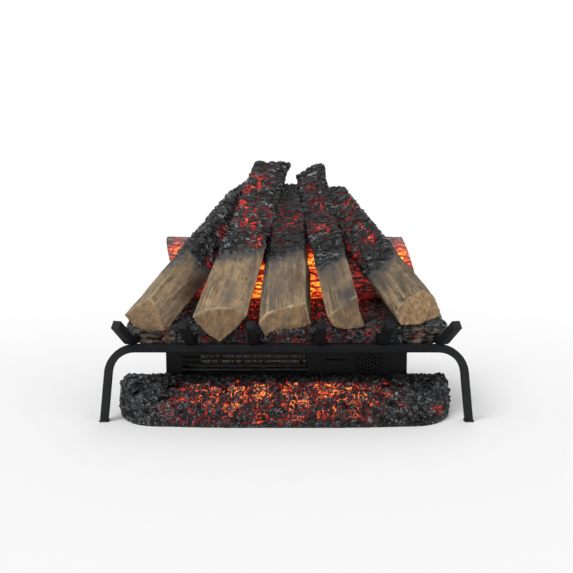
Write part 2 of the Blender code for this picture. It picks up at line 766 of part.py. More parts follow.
def make_door():
    door = box_piece("control_door", "black_sheet", (door_left, BOX_FRONT, door_bottom),
                     (door_right, BOX_FRONT + DOOR_THICKNESS, door_plate_top - DOOR_BARREL_RADIUS))
    length = DOOR_WIDTH - 2 * GAP
    join(door, lambda shape: add_cylinder(shape, (door_x, pin_y, pin_z), DOOR_BARREL_RADIUS, length, "X"))

    def bore_and_notch(shape):
        bore = DOOR_PIN_RADIUS + DOOR_PIN_CLEARANCE
        add_cylinder(shape, (door_x, pin_y, pin_z), bore, DOOR_WIDTH + OVERRUN, "X")
        half = DOOR_NOTCH_WIDTH / 2
        add_box(shape, (door_x - half, BOX_FRONT - OVERRUN, door_bottom - OVERRUN),
                (door_x + half, BOX_FRONT + OVERRUN, door_bottom + DOOR_NOTCH_HEIGHT))
    cut(door, bore_and_notch)
    set_origin(door, (door_x, pin_y, pin_z))
    for step in door.modifiers:
        set_origin(step.object, (door_x, pin_y, pin_z))
    pin_length = tray_right - tray_left + 2 * TRAY_WALL
    piece_from("door_pin", "zinc_sheet", lambda shape: add_cylinder(
        shape, (door_x, pin_y, pin_z), DOOR_PIN_RADIUS, pin_length, "X"), smooth=True)


def make_tray():
    low = (tray_left - TRAY_WALL, tray_front, tray_low - TRAY_WALL)
    high = (tray_right + TRAY_WALL, tray_back, tray_high)
    tray = box_piece("control_tray", "black_plastic", low, high)
    cut(tray, lambda shape: add_box(
        shape, (tray_left, tray_front - OVERRUN, tray_low), (tray_right, tray_plate, DOOR_TOP)))
    for name, x in button_places:
        hole = cutter_from(name + "_hole", lambda shape: add_cylinder(
            shape, (x, tray_back, button_z), BUTTON_RADIUS + GAP, TRAY_DEPTH, "Y"))
        combine(tray, hole)
    half = DOOR_PIN_RADIUS + GAP
    slot_low = (low[0] - OVERRUN, tray_front - OVERRUN, pin_z - half)
    slot_high = (high[0] + OVERRUN, pin_y + half, pin_z + half)
    slots = cutter_from("door_pin_slots", lambda shape: add_box(shape, slot_low, slot_high))
    combine(tray, slots)


def make_buttons():
    for name, x in button_places:
        flange_front = tray_back + GAP
        front = tray_plate - BUTTON_PROUD
        flange = BUTTON_RADIUS + BUTTON_FLANGE

        def build(shape):
            profile = (
                (0, front), (BUTTON_FACE_RADIUS, front), (BUTTON_RADIUS, front + BUTTON_FLANGE),
                (BUTTON_RADIUS, flange_front), (flange, flange_front),
                (flange, flange_front + BUTTON_FLANGE_HEIGHT), (0, flange_front + BUTTON_FLANGE_HEIGHT),
            )
            add_turned(shape, profile, (x, 0, button_z), "Y", SIDES)
            bmesh.ops.remove_doubles(shape, verts=shape.verts, dist=GAP / 10)
        button = piece_from(name, "black_plastic", build, smooth=True)
        set_origin(button, (x, front, button_z))


def make_control_board():
    front = tray_back + BOARD_STANDOFF
    board = box_piece("control_board", "circuit_board", (tray_left, front, tray_low),
                      (tray_right, front + BOARD_THICKNESS, tray_high - TRAY_WALL))
    inset = 2 * BOARD_POST_RADIUS

    def posts(shape):
        length = BOARD_STANDOFF + BOARD_THICKNESS / 2 - GAP
        y = tray_back + GAP + length / 2
        for x in (tray_left + inset, tray_right - inset):
            for z in (tray_low + inset, DOOR_TOP - inset):
                add_cylinder(shape, (x, y, z), BOARD_POST_RADIUS, length, "Y", HOLE_SIDES)
    join(board, posts)


# Speaker

def make_speaker():
    start = panel_back + GAP
    centre = (speaker_x, start, SPEAKER_Z)
    inner = SPEAKER_RADIUS - SPEAKER_RIM
    throat = BASKET_THROAT_RADIUS
    basket = (
        (SPEAKER_RADIUS, 0), (SPEAKER_RADIUS, SPEAKER_WALL), (inner + SPEAKER_WALL, SPEAKER_WALL),
        (throat + SPEAKER_WALL, SPEAKER_DEPTH), (CONE_THROAT_RADIUS, SPEAKER_DEPTH),
        (CONE_THROAT_RADIUS, SPEAKER_DEPTH - SPEAKER_WALL), (throat, SPEAKER_DEPTH - SPEAKER_WALL), (inner, 0),
    )
    piece_from("speaker_basket", "black_steel", lambda shape: add_turned(
        shape, basket, centre, "Y"), smooth=True)
    edge = inner - GAP
    cap = CONE_THROAT_RADIUS
    inside = CONE_DEPTH - CONE_WALL
    cone = (
        (0, inside - CONE_CAP_RISE), (cap / 2, inside - CONE_CAP_RISE * CONE_CAP_SHOULDER_SHARE), (cap, inside),
        (edge - CONE_WALL, GAP), (edge, GAP), (cap, CONE_DEPTH + CONE_WALL), (0, CONE_DEPTH + CONE_WALL),
    )

    def build_cone(shape):
        add_turned(shape, cone, centre, "Y")
        bmesh.ops.remove_doubles(shape, verts=shape.verts, dist=GAP / 10)
    piece_from("speaker_cone", "paper_cone", build_cone, smooth=True)
    magnet_y = start + SPEAKER_DEPTH + GAP + MAGNET_HEIGHT / 2
    piece_from("speaker_magnet", "ferrite", lambda shape: add_cylinder(
        shape, (speaker_x, magnet_y, SPEAKER_Z), MAGNET_RADIUS, MAGNET_HEIGHT, "Y", FINE_SIDES), smooth=True)


# Blower, duct and element

wheel_y = BOX_FRONT + WHEEL_Y_BEHIND_FRONT
duct_left = slot_left - DUCT_SIDE_MARGIN
duct_right = slot_right + DUCT_SIDE_MARGIN
duct_radius = WHEEL_RADIUS + DUCT_CLEARANCE + SHEET
duct_low = SLOT_LOWEST - SLOT_HEIGHT / 2 - SHEET
wheel_left = duct_left + SHEET + WHEEL_END_CLEARANCE
wheel_right = duct_right - SHEET - WHEEL_END_CLEARANCE
duct_top = WHEEL_Z + duct_radius


def duct_outline(inset, front):
    """Side view of the duct: straight to the wheel, then round behind it."""
    radius = duct_radius - inset
    points = [(front, duct_low + inset), (front, duct_top - inset), (wheel_y, duct_top - inset)]
    for step in range(1, BEND_STEPS + 1):
        angle = math.pi / 2 - math.pi * step / BEND_STEPS
        points.append((wheel_y + radius * math.cos(angle), WHEEL_Z + radius * math.sin(angle)))
    return list(reversed(points))


def make_duct():
    front = panel_back + GAP
    duct = piece_from("air_duct", "zinc_sheet", lambda shape: add_prism(
        shape, duct_outline(0, front), duct_left, duct_right, "YZ"))
    cavity = duct_outline(SHEET, front - OVERRUN)
    cut(duct, lambda shape: add_prism(shape, cavity, duct_left + SHEET, duct_right - SHEET, "YZ"))

    half = DUCT_INLET_HEIGHT / 2
    inlet_low = (duct_left + SHEET, wheel_y + WHEEL_RADIUS, WHEEL_Z - half)
    inlet_high = (duct_right - SHEET, wheel_y + duct_radius + OVERRUN, WHEEL_Z + half)
    combine(duct, cutter_from("air_duct_inlet", lambda shape: add_box(shape, inlet_low, inlet_high)))
    bore = BEARING_RADIUS + GAP
    through = duct_right - duct_left + OVERRUN
    combine(duct, cutter_from("air_duct_bore", lambda shape: add_cylinder(
        shape, (slot_middle, wheel_y, WHEEL_Z), bore, through, "X")))


def make_wheel():
    length = wheel_right - wheel_left
    middle = (wheel_left + wheel_right) / 2
    inner = WHEEL_RADIUS - WHEEL_BLADE_DEPTH
    wheel = piece_from("blower_wheel", "aluminium", lambda shape: add_cylinder(
        shape, (middle, wheel_y, WHEEL_Z), WHEEL_SHAFT_RADIUS, shaft_right() - shaft_left(), "X"))
    shift = (shaft_left() + shaft_right()) / 2 - middle
    wheel.data.transform(Matrix.Translation((shift, 0, 0)))

    def discs(shape):
        for x in (wheel_left + WHEEL_DISC / 2, middle, wheel_right - WHEEL_DISC / 2):
            add_cylinder(shape, (x, wheel_y, WHEEL_Z), WHEEL_RADIUS, WHEEL_DISC, "X", FINE_SIDES)
    join(wheel, discs)

    def blades(shape):
        for number in range(WHEEL_BLADES):
            blade = bmesh.new()
            radius = (inner + WHEEL_RADIUS) / 2 - WHEEL_BLADE_THICKNESS
            add_box(blade, (-length / 2 + WHEEL_DISC / 2, -WHEEL_BLADE_DEPTH / 2, -WHEEL_BLADE_THICKNESS / 2),
                    (length / 2 - WHEEL_DISC / 2, WHEEL_BLADE_DEPTH / 2, WHEEL_BLADE_THICKNESS / 2))
            place = (Matrix.Translation((middle, wheel_y, WHEEL_Z))
                     @ Matrix.Rotation(2 * math.pi * number / WHEEL_BLADES, 4, "X")
                     @ Matrix.Translation((0, radius, 0)) @ Matrix.Rotation(WHEEL_BLADE_TURN, 4, "X"))
            bmesh.ops.transform(blade, matrix=place, verts=blade.verts)
            copy = bpy.data.meshes.new("blade")
            blade.to_mesh(copy)
            blade.free()
            shape.from_mesh(copy)
            bpy.data.meshes.remove(copy)
    combine(wheel, cutter_from("blower_wheel_blades", blades), "UNION")
    centre = (middle, wheel_y, WHEEL_Z)
    set_origin(wheel, centre)
    for step in wheel.modifiers:
        set_origin(step.object, centre)


def shaft_left():
    return duct_left - BEARING_LENGTH / 2


def shaft_right():
    return duct_right + GAP + SPINDLE_END_CLEARANCE


def make_motor_and_bearing():
    front = duct_right + GAP
    centre = (front + MOTOR_LENGTH / 2, wheel_y, WHEEL_Z)
    motor = piece_from("blower_motor", "zinc_sheet", lambda shape: add_cylinder(
        shape, centre, MOTOR_RADIUS, MOTOR_LENGTH, "X", FINE_SIDES), smooth=True)
    reach = 2 * (SPINDLE_END_CLEARANCE + GAP)
    bore = WHEEL_SHAFT_RADIUS + WHEEL_SHAFT_CLEARANCE
    cut(motor, lambda shape: add_cylinder(shape, (front, wheel_y, WHEEL_Z), bore, 2 * reach, "X"))
    inside = BEARING_LENGTH / 2
    profile = (
        (bore, -inside), (BEARING_RADIUS + SHEET, -inside), (BEARING_RADIUS + SHEET, -GAP),
        (BEARING_RADIUS, -GAP), (BEARING_RADIUS, inside), (bore, inside),
    )
    piece_from("blower_bearing", "rubber", lambda shape: add_turned(
        shape, profile, (duct_left, wheel_y, WHEEL_Z), "X", SIDES), smooth=True)


def make_element():
    front = BOX_FRONT + ELEMENT_BEHIND_FRONT
    back = front + ELEMENT_DEPTH
    wall = ELEMENT_FRAME_WALL
    left = slot_left + ELEMENT_LEFT_MARGIN
    right = slot_right - ELEMENT_RIGHT_MARGIN
    holder_left = duct_left + SHEET + GAP
    holder_right = duct_right - SHEET - GAP
    frame = box_piece("element_frame", "ceramic", (holder_left, front, ELEMENT_BOTTOM),
                      (holder_right, back, ELEMENT_TOP))
    cut(frame, lambda shape: add_box(
        shape, (left, front - OVERRUN, ELEMENT_BOTTOM + wall), (right, back + OVERRUN, ELEMENT_TOP - wall)))
    low = ELEMENT_BOTTOM + wall + GAP
    high = ELEMENT_TOP - wall - GAP
    run = FIN_PITCH / FINS_PER_PITCH
    rise = ELEMENT_DEPTH - 2 * FIN_INSET
    fold = FIN_THICKNESS * math.hypot(run, rise) / run / 2
    count = int((right - left - 2 * GAP) / run)
    start = (left + right - count * run) / 2
    near = front + FIN_INSET
    line = [(start + step * run, near + rise * (step % FINS_PER_PITCH)) for step in range(count + 1)]
    outline = [(x, y - fold) for x, y in line] + [(x, y + fold) for x, y in reversed(line)]
    piece_from("heating_element", "aluminium", lambda shape: add_prism(shape, outline, low, high, "XY"))


def make_cutout():
    centre = (slot_middle + CUTOUT_SHIFT, (BOX_FRONT + wheel_y) / 2, duct_top + GAP + CUTOUT_HEIGHT / 2)
    piece_from("thermal_cutout", "ceramic", lambda shape: add_cylinder(
        shape, centre, CUTOUT_RADIUS, CUTOUT_HEIGHT), smooth=True)


# Supply board, rocker and gland

def make_power_board():
    back = chassis_back - SHEET - POWER_BOARD_BACK_MARGIN
    front = back - POWER_BOARD_DEPTH
    middle = box_half - POWER_BOARD_FROM_END
    left = middle - POWER_BOARD_WIDTH / 2
    right = middle + POWER_BOARD_WIDTH / 2
    low = floor_top + GAP + POWER_BOARD_STANDOFF
    board = box_piece("power_board", "circuit_board", (left, front, low), (right, back, low + BOARD_THICKNESS))
    inset = 2 * POWER_BOARD_POST_RADIUS
    rest = low + BOARD_THICKNESS / 2

    def parts(shape):
        for x in (left + inset, right - inset):
            for y in (front + inset, back - inset):
                height = rest - floor_top - GAP
                add_cylinder(shape, (x, y, rest - height / 2), POWER_BOARD_POST_RADIUS, height, "Z", HOLE_SIDES)
        row = front + 2 * inset
        block_x = left + inset
        add_box(shape, (block_x, row, rest),
                (block_x + TRANSFORMER_WIDTH, row + TRANSFORMER_WIDTH, rest + TRANSFORMER_HEIGHT))
        relay_x = right - inset - RELAY_WIDTH
        add_box(shape, (relay_x, row, rest),
                (relay_x + RELAY_WIDTH, row + RELAY_WIDTH / 2, rest + RELAY_HEIGHT))
        can_x = right - inset - CAPACITOR_RADIUS
        can_y = back - 2 * inset - CAPACITOR_RADIUS
        add_cylinder(shape, (can_x, can_y, rest + CAPACITOR_HEIGHT / 2), CAPACITOR_RADIUS, CAPACITOR_HEIGHT)
    join(board, parts)


def rocker_corner(sign, grow, y):
    """A corner of the rocker frame's body, on one side of its centre."""
    half_width = ROCKER_WIDTH / 2 + ROCKER_CLEARANCE + ROCKER_RIM + grow
    half_height = ROCKER_HEIGHT / 2 + ROCKER_CLEARANCE + ROCKER_RIM + grow
    return (rocker_x + sign * half_width, y, ROCKER_Z + sign * half_height)


def make_rocker():
    back = box_back + GAP
    frame = box_piece("rocker_frame", "black_plastic", rocker_corner(-1, 0, box_back - ROCKER_FRAME_DEPTH),
                      rocker_corner(1, 0, back + SHEET))

    def rim(shape):
        add_box(shape, rocker_corner(-1, ROCKER_RIM, back), rocker_corner(1, ROCKER_RIM, back + SHEET))
    join(frame, rim)
    floor = back - ROCKER_THICKNESS - ROCKER_CLEARANCE

    def pocket(shape):
        add_box(shape, rocker_corner(-1, -ROCKER_RIM, floor), rocker_corner(1, -ROCKER_RIM, back + OVERRUN))
    combine(frame, cutter_from("rocker_frame_pocket", pocket))
    axis = (rocker_x, back, ROCKER_Z)
    half = ROCKER_HEIGHT / 2
    crown = ROCKER_THICKNESS / 2
    rise = half * math.tan(ROCKER_TILT)
    outline = ((-ROCKER_THICKNESS + crown, 0), (0, -half), (rise + crown / 2, -half), (crown / 2, 0),
               (rise + crown / 2, half), (0, half))

    def build(shape):
        add_prism(shape, outline, -ROCKER_WIDTH / 2, ROCKER_WIDTH / 2, "YZ")
        bmesh.ops.transform(shape, matrix=Matrix.Rotation(ROCKER_TILT, 4, "X"), verts=shape.verts)
    rocker = piece_from("power_rocker", "black_plastic", build)
    rocker.location = axis


def make_gland():
    back = box_back + GAP
    inside = SHEET + GLAND_FLANGE_HEIGHT
    profile = (
        (GLAND_BORE_RADIUS, -inside), (GLAND_NECK_RADIUS, -inside),
        (GLAND_NECK_RADIUS, 0), (GLAND_FLANGE_RADIUS, 0),
        (GLAND_FLANGE_RADIUS, GLAND_FLANGE_HEIGHT), (GLAND_NECK_RADIUS, GLAND_FLANGE_HEIGHT),
        (GLAND_BORE_RADIUS + SHEET, GLAND_LENGTH), (GLAND_BORE_RADIUS, GLAND_LENGTH),
    )
    piece_from("cord_gland", "rubber", lambda shape: add_turned(
        shape, profile, (gland_x, back, GLAND_Z), "Y", SIDES), smooth=True)


# Flicker spindle and lamps on the lid

spindle_y = BOX_FRONT + SPINDLE_Y_BEHIND_FRONT
spindle_z = lid_top + SPINDLE_HEIGHT


def make_spindle():
    rotor = piece_from("flicker_rotor", "foil", lambda shape: add_cylinder(
        shape, (0, spindle_y, spindle_z), SPINDLE_RADIUS, 2 * SPINDLE_HALF_LENGTH, "X"))

    def vanes(shape):
        pitch = (2 * SPINDLE_HALF_LENGTH - 2 * VANE_WIDTH) / VANE_COUNT
        for number in range(VANE_COUNT):
            vane = bmesh.new()
            corner = Vector((VANE_WIDTH / 2, VANE_RADIUS, VANE_THICKNESS / 2))
            add_box(vane, -corner, corner)
            x = (number - (VANE_COUNT - 1) / 2) * pitch
            place = Matrix.Translation((x, spindle_y, spindle_z)) @ Matrix.Rotation(number * VANE_TURN, 4, "X")
            bmesh.ops.transform(vane, matrix=place, verts=vane.verts)
            copy = bpy.data.meshes.new("vane")
            vane.to_mesh(copy)
            vane.free()
            shape.from_mesh(copy)
            bpy.data.meshes.remove(copy)
    join(rotor, vanes)
    centre = (0, spindle_y, spindle_z)
    set_origin(rotor, centre)
    for step in rotor.modifiers:
        set_origin(step.object, centre)

    end = SPINDLE_HALF_LENGTH + SPINDLE_END_CLEARANCE
    base = lid_top + GAP
    bore = SPINDLE_RADIUS + SPINDLE_BORE_CLEARANCE
    hold = SPINDLE_END_CLEARANCE + FLICKER_STAND_THICKNESS / 2

    def stand(name, finish, sign, with_motor):
        near = sign * (end - hold)
        far = near + sign * FLICKER_STAND_THICKNESS
        half = FLICKER_STAND_WIDTH / 2
        low = (min(near, far), spindle_y - half, base)
        high = (max(near, far), spindle_y + half, spindle_z + half)
        piece = box_piece(name, finish, low, high)
        if with_motor:
            middle = far + sign * (FLICKER_MOTOR_LENGTH / 2 - GAP)
            join(piece, lambda shape: add_cylinder(shape, (middle, spindle_y, spindle_z), FLICKER_MOTOR_RADIUS,
                                                   FLICKER_MOTOR_LENGTH, "X", FINE_SIDES))
        cut(piece, lambda shape: add_cylinder(shape, (near, spindle_y, spindle_z), bore, 2 * hold + GAP, "X"))
    stand("flicker_motor", "zinc_sheet", -1, True)
    stand("flicker_bearing", "black_plastic", 1, False)


def make_lamp_board():
    back = box_back - LAMP_BOARD_BACK_MARGIN
    front = back - LAMP_BOARD_WIDTH
    low = lid_top + GAP
    board = box_piece("lamp_board", "circuit_board", (-LAMP_BOARD_HALF_LENGTH, front, low),
                      (LAMP_BOARD_HALF_LENGTH, back, low + BOARD_THICKNESS))

    def lamps(shape):
        pitch = 2 * LAMP_BOARD_HALF_LENGTH / LAMP_COUNT
        height = LAMP_HEIGHT + BOARD_THICKNESS / 2
        for number in range(LAMP_COUNT):
            x = (number - (LAMP_COUNT - 1) / 2) * pitch
            centre = (x, (front + back) / 2, low + BOARD_THICKNESS / 2 + height / 2)
            add_cylinder(shape, centre, LAMP_RADIUS, height, "Z", HOLE_SIDES)
    join(board, lamps)


# Ember bed and mat

def lump(point, size, length):
    """Smooth, repeatable unevenness at a point."""
    return size * noise.noise(point / length)


def pit(point, size, length):
    """Repeatable depth at a point, from none to the full size, that jumps from point to point."""
    return size * (noise.cell(point / length) + 1) / 2


def add_mound(shape, rings):
    """Close a stack of rings into one solid, flat below and capped above."""
    made = [[shape.verts.new(co) for co in ring] for ring in rings]
    count = len(rings[0])
    for lower, upper in zip(made, made[1:]):
        for i in range(count):
            after = (i + 1) % count
            shape.faces.new((lower[i], lower[after], upper[after], upper[i]))
    shape.faces.new(list(reversed(made[0])))
    shape.faces.new(made[-1])
    bmesh.ops.triangulate(shape, faces=shape.faces)


def share_at(table, share):
    """Read a table of (place, value) shares between its rows."""
    for (low, first), (high, second) in zip(table, table[1:]):
        if share <= high:
            return first + (second - first) * (share - low) / (high - low)
    return table[-1][1]


def bed_outline(inset):
    points = []
    count = len(BED_OUTLINE_SHARES)
    for i in range(count):
        here = Vector(BED_OUTLINE_SHARES[i])
        there = Vector(BED_OUTLINE_SHARES[(i + 1) % count])
        for part in range(BED_EDGE_PARTS):
            share = here.lerp(there, part / BED_EDGE_PARTS)
            y = BED_FRONT + inset + share.y * (BED_DEPTH - 2 * inset)
            points.append(Vector((share.x * (BED_HALF_WIDTH - inset), y)))
    return points


def bed_rings(inset, low, roughness):
    """Rings of the bed's surface from its skirt to its back, or of its hollow."""
    outline = bed_outline(inset)
    spine_y = BED_FRONT + BED_DEPTH * BED_SPINE_SHARE
    rise = BED_REAR_HEIGHT - BED_FRONT_HEIGHT
    rings = [[Vector((co.x, co.y, low)) for co in outline]]
    for share in BED_RING_SHARES:
        ring = []
        for co in outline:
            spine = Vector((co.x * BED_SPINE_WIDTH_SHARE, spine_y))
            here = co.lerp(spine, share)
            across = (here.y - BED_FRONT) / BED_DEPTH
            height = BED_FRONT_HEIGHT + rise * share_at(BED_RISE_SHARES, across)
            beyond = abs(here.x) / BED_HALF_WIDTH - BED_END_START_SHARE
            side = max(0.0, beyond) / (1 - BED_END_START_SHARE)
            height -= rise * BED_END_DROP_SHARE * side * min(1.0, across / BED_END_FADE_SHARE)
            if share == 0.0:
                height -= BED_EDGE_DROP
            point = Vector((here.x, here.y, bar_bottom + height - inset))
            rough = lump(point, roughness, BED_LUMP_LENGTH)
            ring.append(point + Vector((0, 0, rough)))
        rings.append(ring)
    return rings


def make_bed(bars, logs):
    low = bar_bottom + GAP
    rings = bed_rings(0, low, BED_LUMP)
    bed = piece_from("ember_bed", "charred_ember", lambda shape: add_mound(shape, rings))
    hollow = bed_rings(BED_WALL, low - OVERRUN, 0)
    cut(bed, lambda shape: add_mound(shape, hollow))
    for bar in bars:
        combine(bed, grown_cutter(bar.name + "_seat", bar.data, GAP))
    for log in logs:
        combine(bed, log_seats[log.name])
    combine(bed, cutter_from("ember_bed_slot", lambda shape: add_box(shape, *light_slot(REAR_LOG_Z))))


def mat_outline(inset, spine_share):
    """Half superellipse with a straight back, from the left back corner round the front to the right.

    Its points lie evenly along it, so that the coals on it are about as wide everywhere.
    """
    half = MAT_HALF_WIDTH - inset
    points = []
    for step in range(MAT_SAMPLES + 1):
        angle = math.pi * step / MAT_SAMPLES
        x = -math.copysign(abs(math.cos(angle)) ** (2 / MAT_SIDE_POWER), math.cos(angle))
        y = max(math.sin(angle), 0.0) ** (2 / MAT_FRONT_POWER)
        rim = Vector((MAT_X + x * half, MAT_BACK - inset - y * (MAT_DEPTH - 2 * inset)))
        spine = Vector((MAT_X + x * half * spine_share, MAT_BACK - inset))
        points.append((rim, spine))
    travelled = [0.0]
    for (here, _), (there, _) in zip(points, points[1:]):
        travelled.append(travelled[-1] + (there - here).length)
    even = []
    for step in range(MAT_STEPS + 1):
        goal = travelled[-1] * step / MAT_STEPS
        even.append(points[min(range(len(points)), key=lambda number: abs(travelled[number] - goal))])
    return even


def mat_rings(inset, low, roughness, relief):
    rings = []
    pairs = mat_outline(inset, MAT_SPINE_SHARE)
    rings.append([Vector((rim.x, rim.y, low)) for rim, _ in pairs])
    for number in range(MAT_RINGS + 1):
        share = number / MAT_RINGS
        turn = share * math.pi / 2
        ring = []
        for rim, spine in pairs:
            across = 1 - math.cos(turn)
            here = rim.lerp(spine, across)
            bulge = MAT_SIDE_BULGE * math.sin(2 * turn) * (rim.x - MAT_X) / MAT_HALF_WIDTH
            height = MAT_RIM + (MAT_HEIGHT - MAT_RIM - inset) * math.sin(turn)
            point = Vector((here.x + bulge, min(here.y, MAT_BACK - inset), height))
            fade = min(1.0, (MAT_BACK - point.y) / MAT_LUMP_LENGTH) * min(1.0, share / MAT_LUMP_FADE_SHARE)
            rough = lump(point, roughness * fade, MAT_LUMP_LENGTH)
            out = (rim - spine).normalized() * math.cos(turn)
            coal = Vector((out.x, out.y, math.sin(turn))) * pit(point, relief * fade, MAT_COAL_LENGTH)
            ring.append(point + Vector((0, 0, rough)) - coal)
        rings.append(ring)
    return rings


def add_mat_solid(shape, rings):
    """Close the mat's rings: each runs from corner to corner, and the straight back joins their ends."""
    made = [[shape.verts.new(co) for co in ring] for ring in rings]
    for lower, upper in zip(made, made[1:]):
        for i in range(len(lower) - 1):
            shape.faces.new((lower[i], lower[i + 1], upper[i + 1], upper[i]))
    shape.faces.new(list(reversed(made[0])))
    bmesh.ops.remove_doubles(shape, verts=shape.verts, dist=GAP / 3)
    open_edges = [edge for edge in shape.edges if edge.is_boundary]
    bmesh.ops.holes_fill(shape, edges=open_edges, sides=0)
    bmesh.ops.triangulate(shape, faces=shape.faces)


def make_mat():
    rings = mat_rings(0, 0, MAT_LUMP, MAT_COAL_RELIEF)
    shell = piece_from("mat_shell", "charred_ember", lambda shape: add_mat_solid(shape, rings))
    cut(shell, lambda shape: add_mat_solid(shape, mat_rings(MAT_WALL, -OVERRUN, 0, 0)))
    inner = mat_outline(MAT_WALL + GAP, MAT_SPINE_SHARE)
    plan = [tuple(rim) for rim, _ in inner]
    piece_from("mat_base", "black_plastic", lambda shape: add_prism(shape, plan, 0, MAT_BASE_THICKNESS, "XY"))
    back = MAT_BACK - MAT_LAMP_BOARD_BACK_MARGIN
    low = MAT_BASE_THICKNESS + GAP
    half = MAT_LAMP_BOARD_HALF_LENGTH
    front = back - MAT_LAMP_BOARD_WIDTH
    board = box_piece("mat_lamp_board", "circuit_board", (-half, front, low),
                      (half, back, low + BOARD_THICKNESS))

    def lamps(shape):
        pitch = 2 * half / LAMP_COUNT
        height = LAMP_HEIGHT + BOARD_THICKNESS / 2
        for number in range(LAMP_COUNT):
            x = (number - (LAMP_COUNT - 1) / 2) * pitch
            centre = (x, (front + back) / 2, low + BOARD_THICKNESS / 2 + height / 2)
            add_cylinder(shape, centre, LAMP_RADIUS, height, "Z", HOLE_SIDES)
    join(board, lamps)


def make_mat_contact():
    """Socket in the box front and the plug that the mat's back pushes into it."""
    rim = MAT_SOCKET_RIM
    half_width = MAT_PLUG_WIDTH / 2
    half_height = MAT_PLUG_HEIGHT / 2
    low = MAT_PLUG_Z - half_height
    high = MAT_PLUG_Z + half_height
    left = slot_middle - half_width
    right = slot_middle + half_width
    outer = rim + GAP
    back = BOX_FRONT + MAT_SOCKET_DEPTH + rim
    socket = box_piece("mat_socket", "black_plastic", (left - outer, BOX_FRONT - GAP, low - outer),
                       (right + outer, back, high + outer))
    join(socket, lambda shape: add_box(shape, (left - outer - rim, panel_back + GAP, low - outer - rim),
                                       (right + outer + rim, panel_back + GAP + rim, high + outer + rim)))
    cut(socket, lambda shape: add_box(shape, (left - GAP, BOX_FRONT - OVERRUN, low - GAP),
                                      (right + GAP, BOX_FRONT + MAT_SOCKET_DEPTH, high + GAP)))
    start = MAT_BACK + GAP
    end = BOX_FRONT + MAT_PLUG_TONGUE
    box_piece("mat_plug", "black_plastic", (left, start, low), (right, end, high))


# Logs

slope_up = Vector((0, math.cos(SLOPE_ANGLE), math.sin(SLOPE_ANGLE)))
slope_back = Vector((0, math.sin(SLOPE_ANGLE), -math.cos(SLOPE_ANGLE)))
slope_zero = Vector((0, SLOPE_FRONT, SLOPE_HEIGHT))
log_seats = {}


def edge_point(edge, share):
    """A point on a log's long edge, at a share of the log length up the slope."""
    foot, head, depth = edge
    x = (foot + (head - foot) * share) * LEG_SPREAD_TOP
    across = Vector((x, 0, 0))
    return slope_zero + across + slope_up * (share * LOG_LENGTH) + slope_back * (depth * LOG_DEPTH)


def saw(shape, point, normal):
    """Cut off everything beyond a plane and close the cut."""
    geometry = list(shape.verts) + list(shape.edges) + list(shape.faces)
    made = bmesh.ops.bisect_plane(
        shape, geom=geometry, dist=GAP / 10, plane_co=point, plane_no=normal, clear_outer=True)
    rim = [item for item in made["geom_cut"] if isinstance(item, bmesh.types.BMEdge)]
    bmesh.ops.edgeloop_fill(shape, edges=rim)


def log_stations():
    """Shares of the log length at which a log has a ring: far apart in the wood, close in the bark."""
    wood = BARK_START_SHARE + LOG_OVERLENGTH_SHARE
    shares = [wood * station / LOG_STATIONS - LOG_OVERLENGTH_SHARE for station in range(LOG_STATIONS)]
    bark = 1 + LOG_OVERLENGTH_SHARE / 2 - BARK_START_SHARE
    count = math.ceil(bark * LOG_LENGTH / BARK_PLATE_LENGTH)
    return shares + [BARK_START_SHARE + bark * station / count for station in range(count + 1)]


def fill_log(shape, shares, grow, relief):
    """One split log as a sawn loft with pitted bark; grow swells it for the seats that it cuts."""
    edges = shares["edges"]
    rings = []
    for share in log_stations():
        corners = [edge_point(edge, share) for edge in edges]
        fade = min(max((share - BARK_START_SHARE) / (BARK_FULL_SHARE - BARK_START_SHARE), 0.0), 1.0)
        middle = sum(corners, Vector()) / len(corners)
        ring = []
        for i, here in enumerate(corners):
            there = corners[(i + 1) % len(corners)]
            for part in range(LOG_EDGE_PARTS):
                point = here.lerp(there, part / LOG_EDGE_PARTS)
                shake = noise.noise_vector(point / LOG_ROUGH_LENGTH) * LOG_ROUGHNESS
                out = grow - pit(point, relief * fade, BARK_RELIEF_LENGTH)
                ring.append(point + shake + (point - middle).normalized() * out)
        rings.append(ring)
    add_mound(shape, rings)
    bmesh.ops.recalc_face_normals(shape, faces=shape.faces)
    for end, way in (("foot", -slope_up), ("head", slope_up)):
        first, second, third = [edge_point(edges[number], share) for number, share in shares[end]]
        normal = (second - first).cross(third - first).normalized()
        if normal.dot(way) < 0:
            normal = -normal
        saw(shape, first + normal * grow, normal)


def fill_rear_log(shape, grow):
    """The log that lies across the back, with both ends sawn at a lean."""
    rings = []
    start = REAR_LOG_LEFT - REAR_LOG_RADIUS
    total = REAR_LOG_RIGHT + REAR_LOG_RADIUS - start
    for station in range(REAR_LOG_STATIONS):
        x = start + total * station / (REAR_LOG_STATIONS - 1)
        ring = []
        for side in range(REAR_LOG_SIDES):
            angle = 2 * math.pi * side / REAR_LOG_SIDES
            way = Vector((0, math.cos(angle), math.sin(angle)))
            point = Vector((x, REAR_LOG_Y, REAR_LOG_Z)) + way * REAR_LOG_RADIUS
            ring.append(point + way * (grow + lump(point, REAR_LOG_ROUGHNESS, BED_LUMP_LENGTH)))
        rings.append(ring)
    add_mound(shape, rings)
    bmesh.ops.recalc_face_normals(shape, faces=shape.faces)
    lean = math.tan(REAR_LOG_END_LEAN)
    for end, sign in ((REAR_LOG_LEFT, -1), (REAR_LOG_RIGHT, 1)):
        normal = Vector((sign, 0, sign * lean)).normalized()
        point = Vector((end, REAR_LOG_Y, REAR_LOG_Z))
        saw(shape, point + normal * grow, normal)


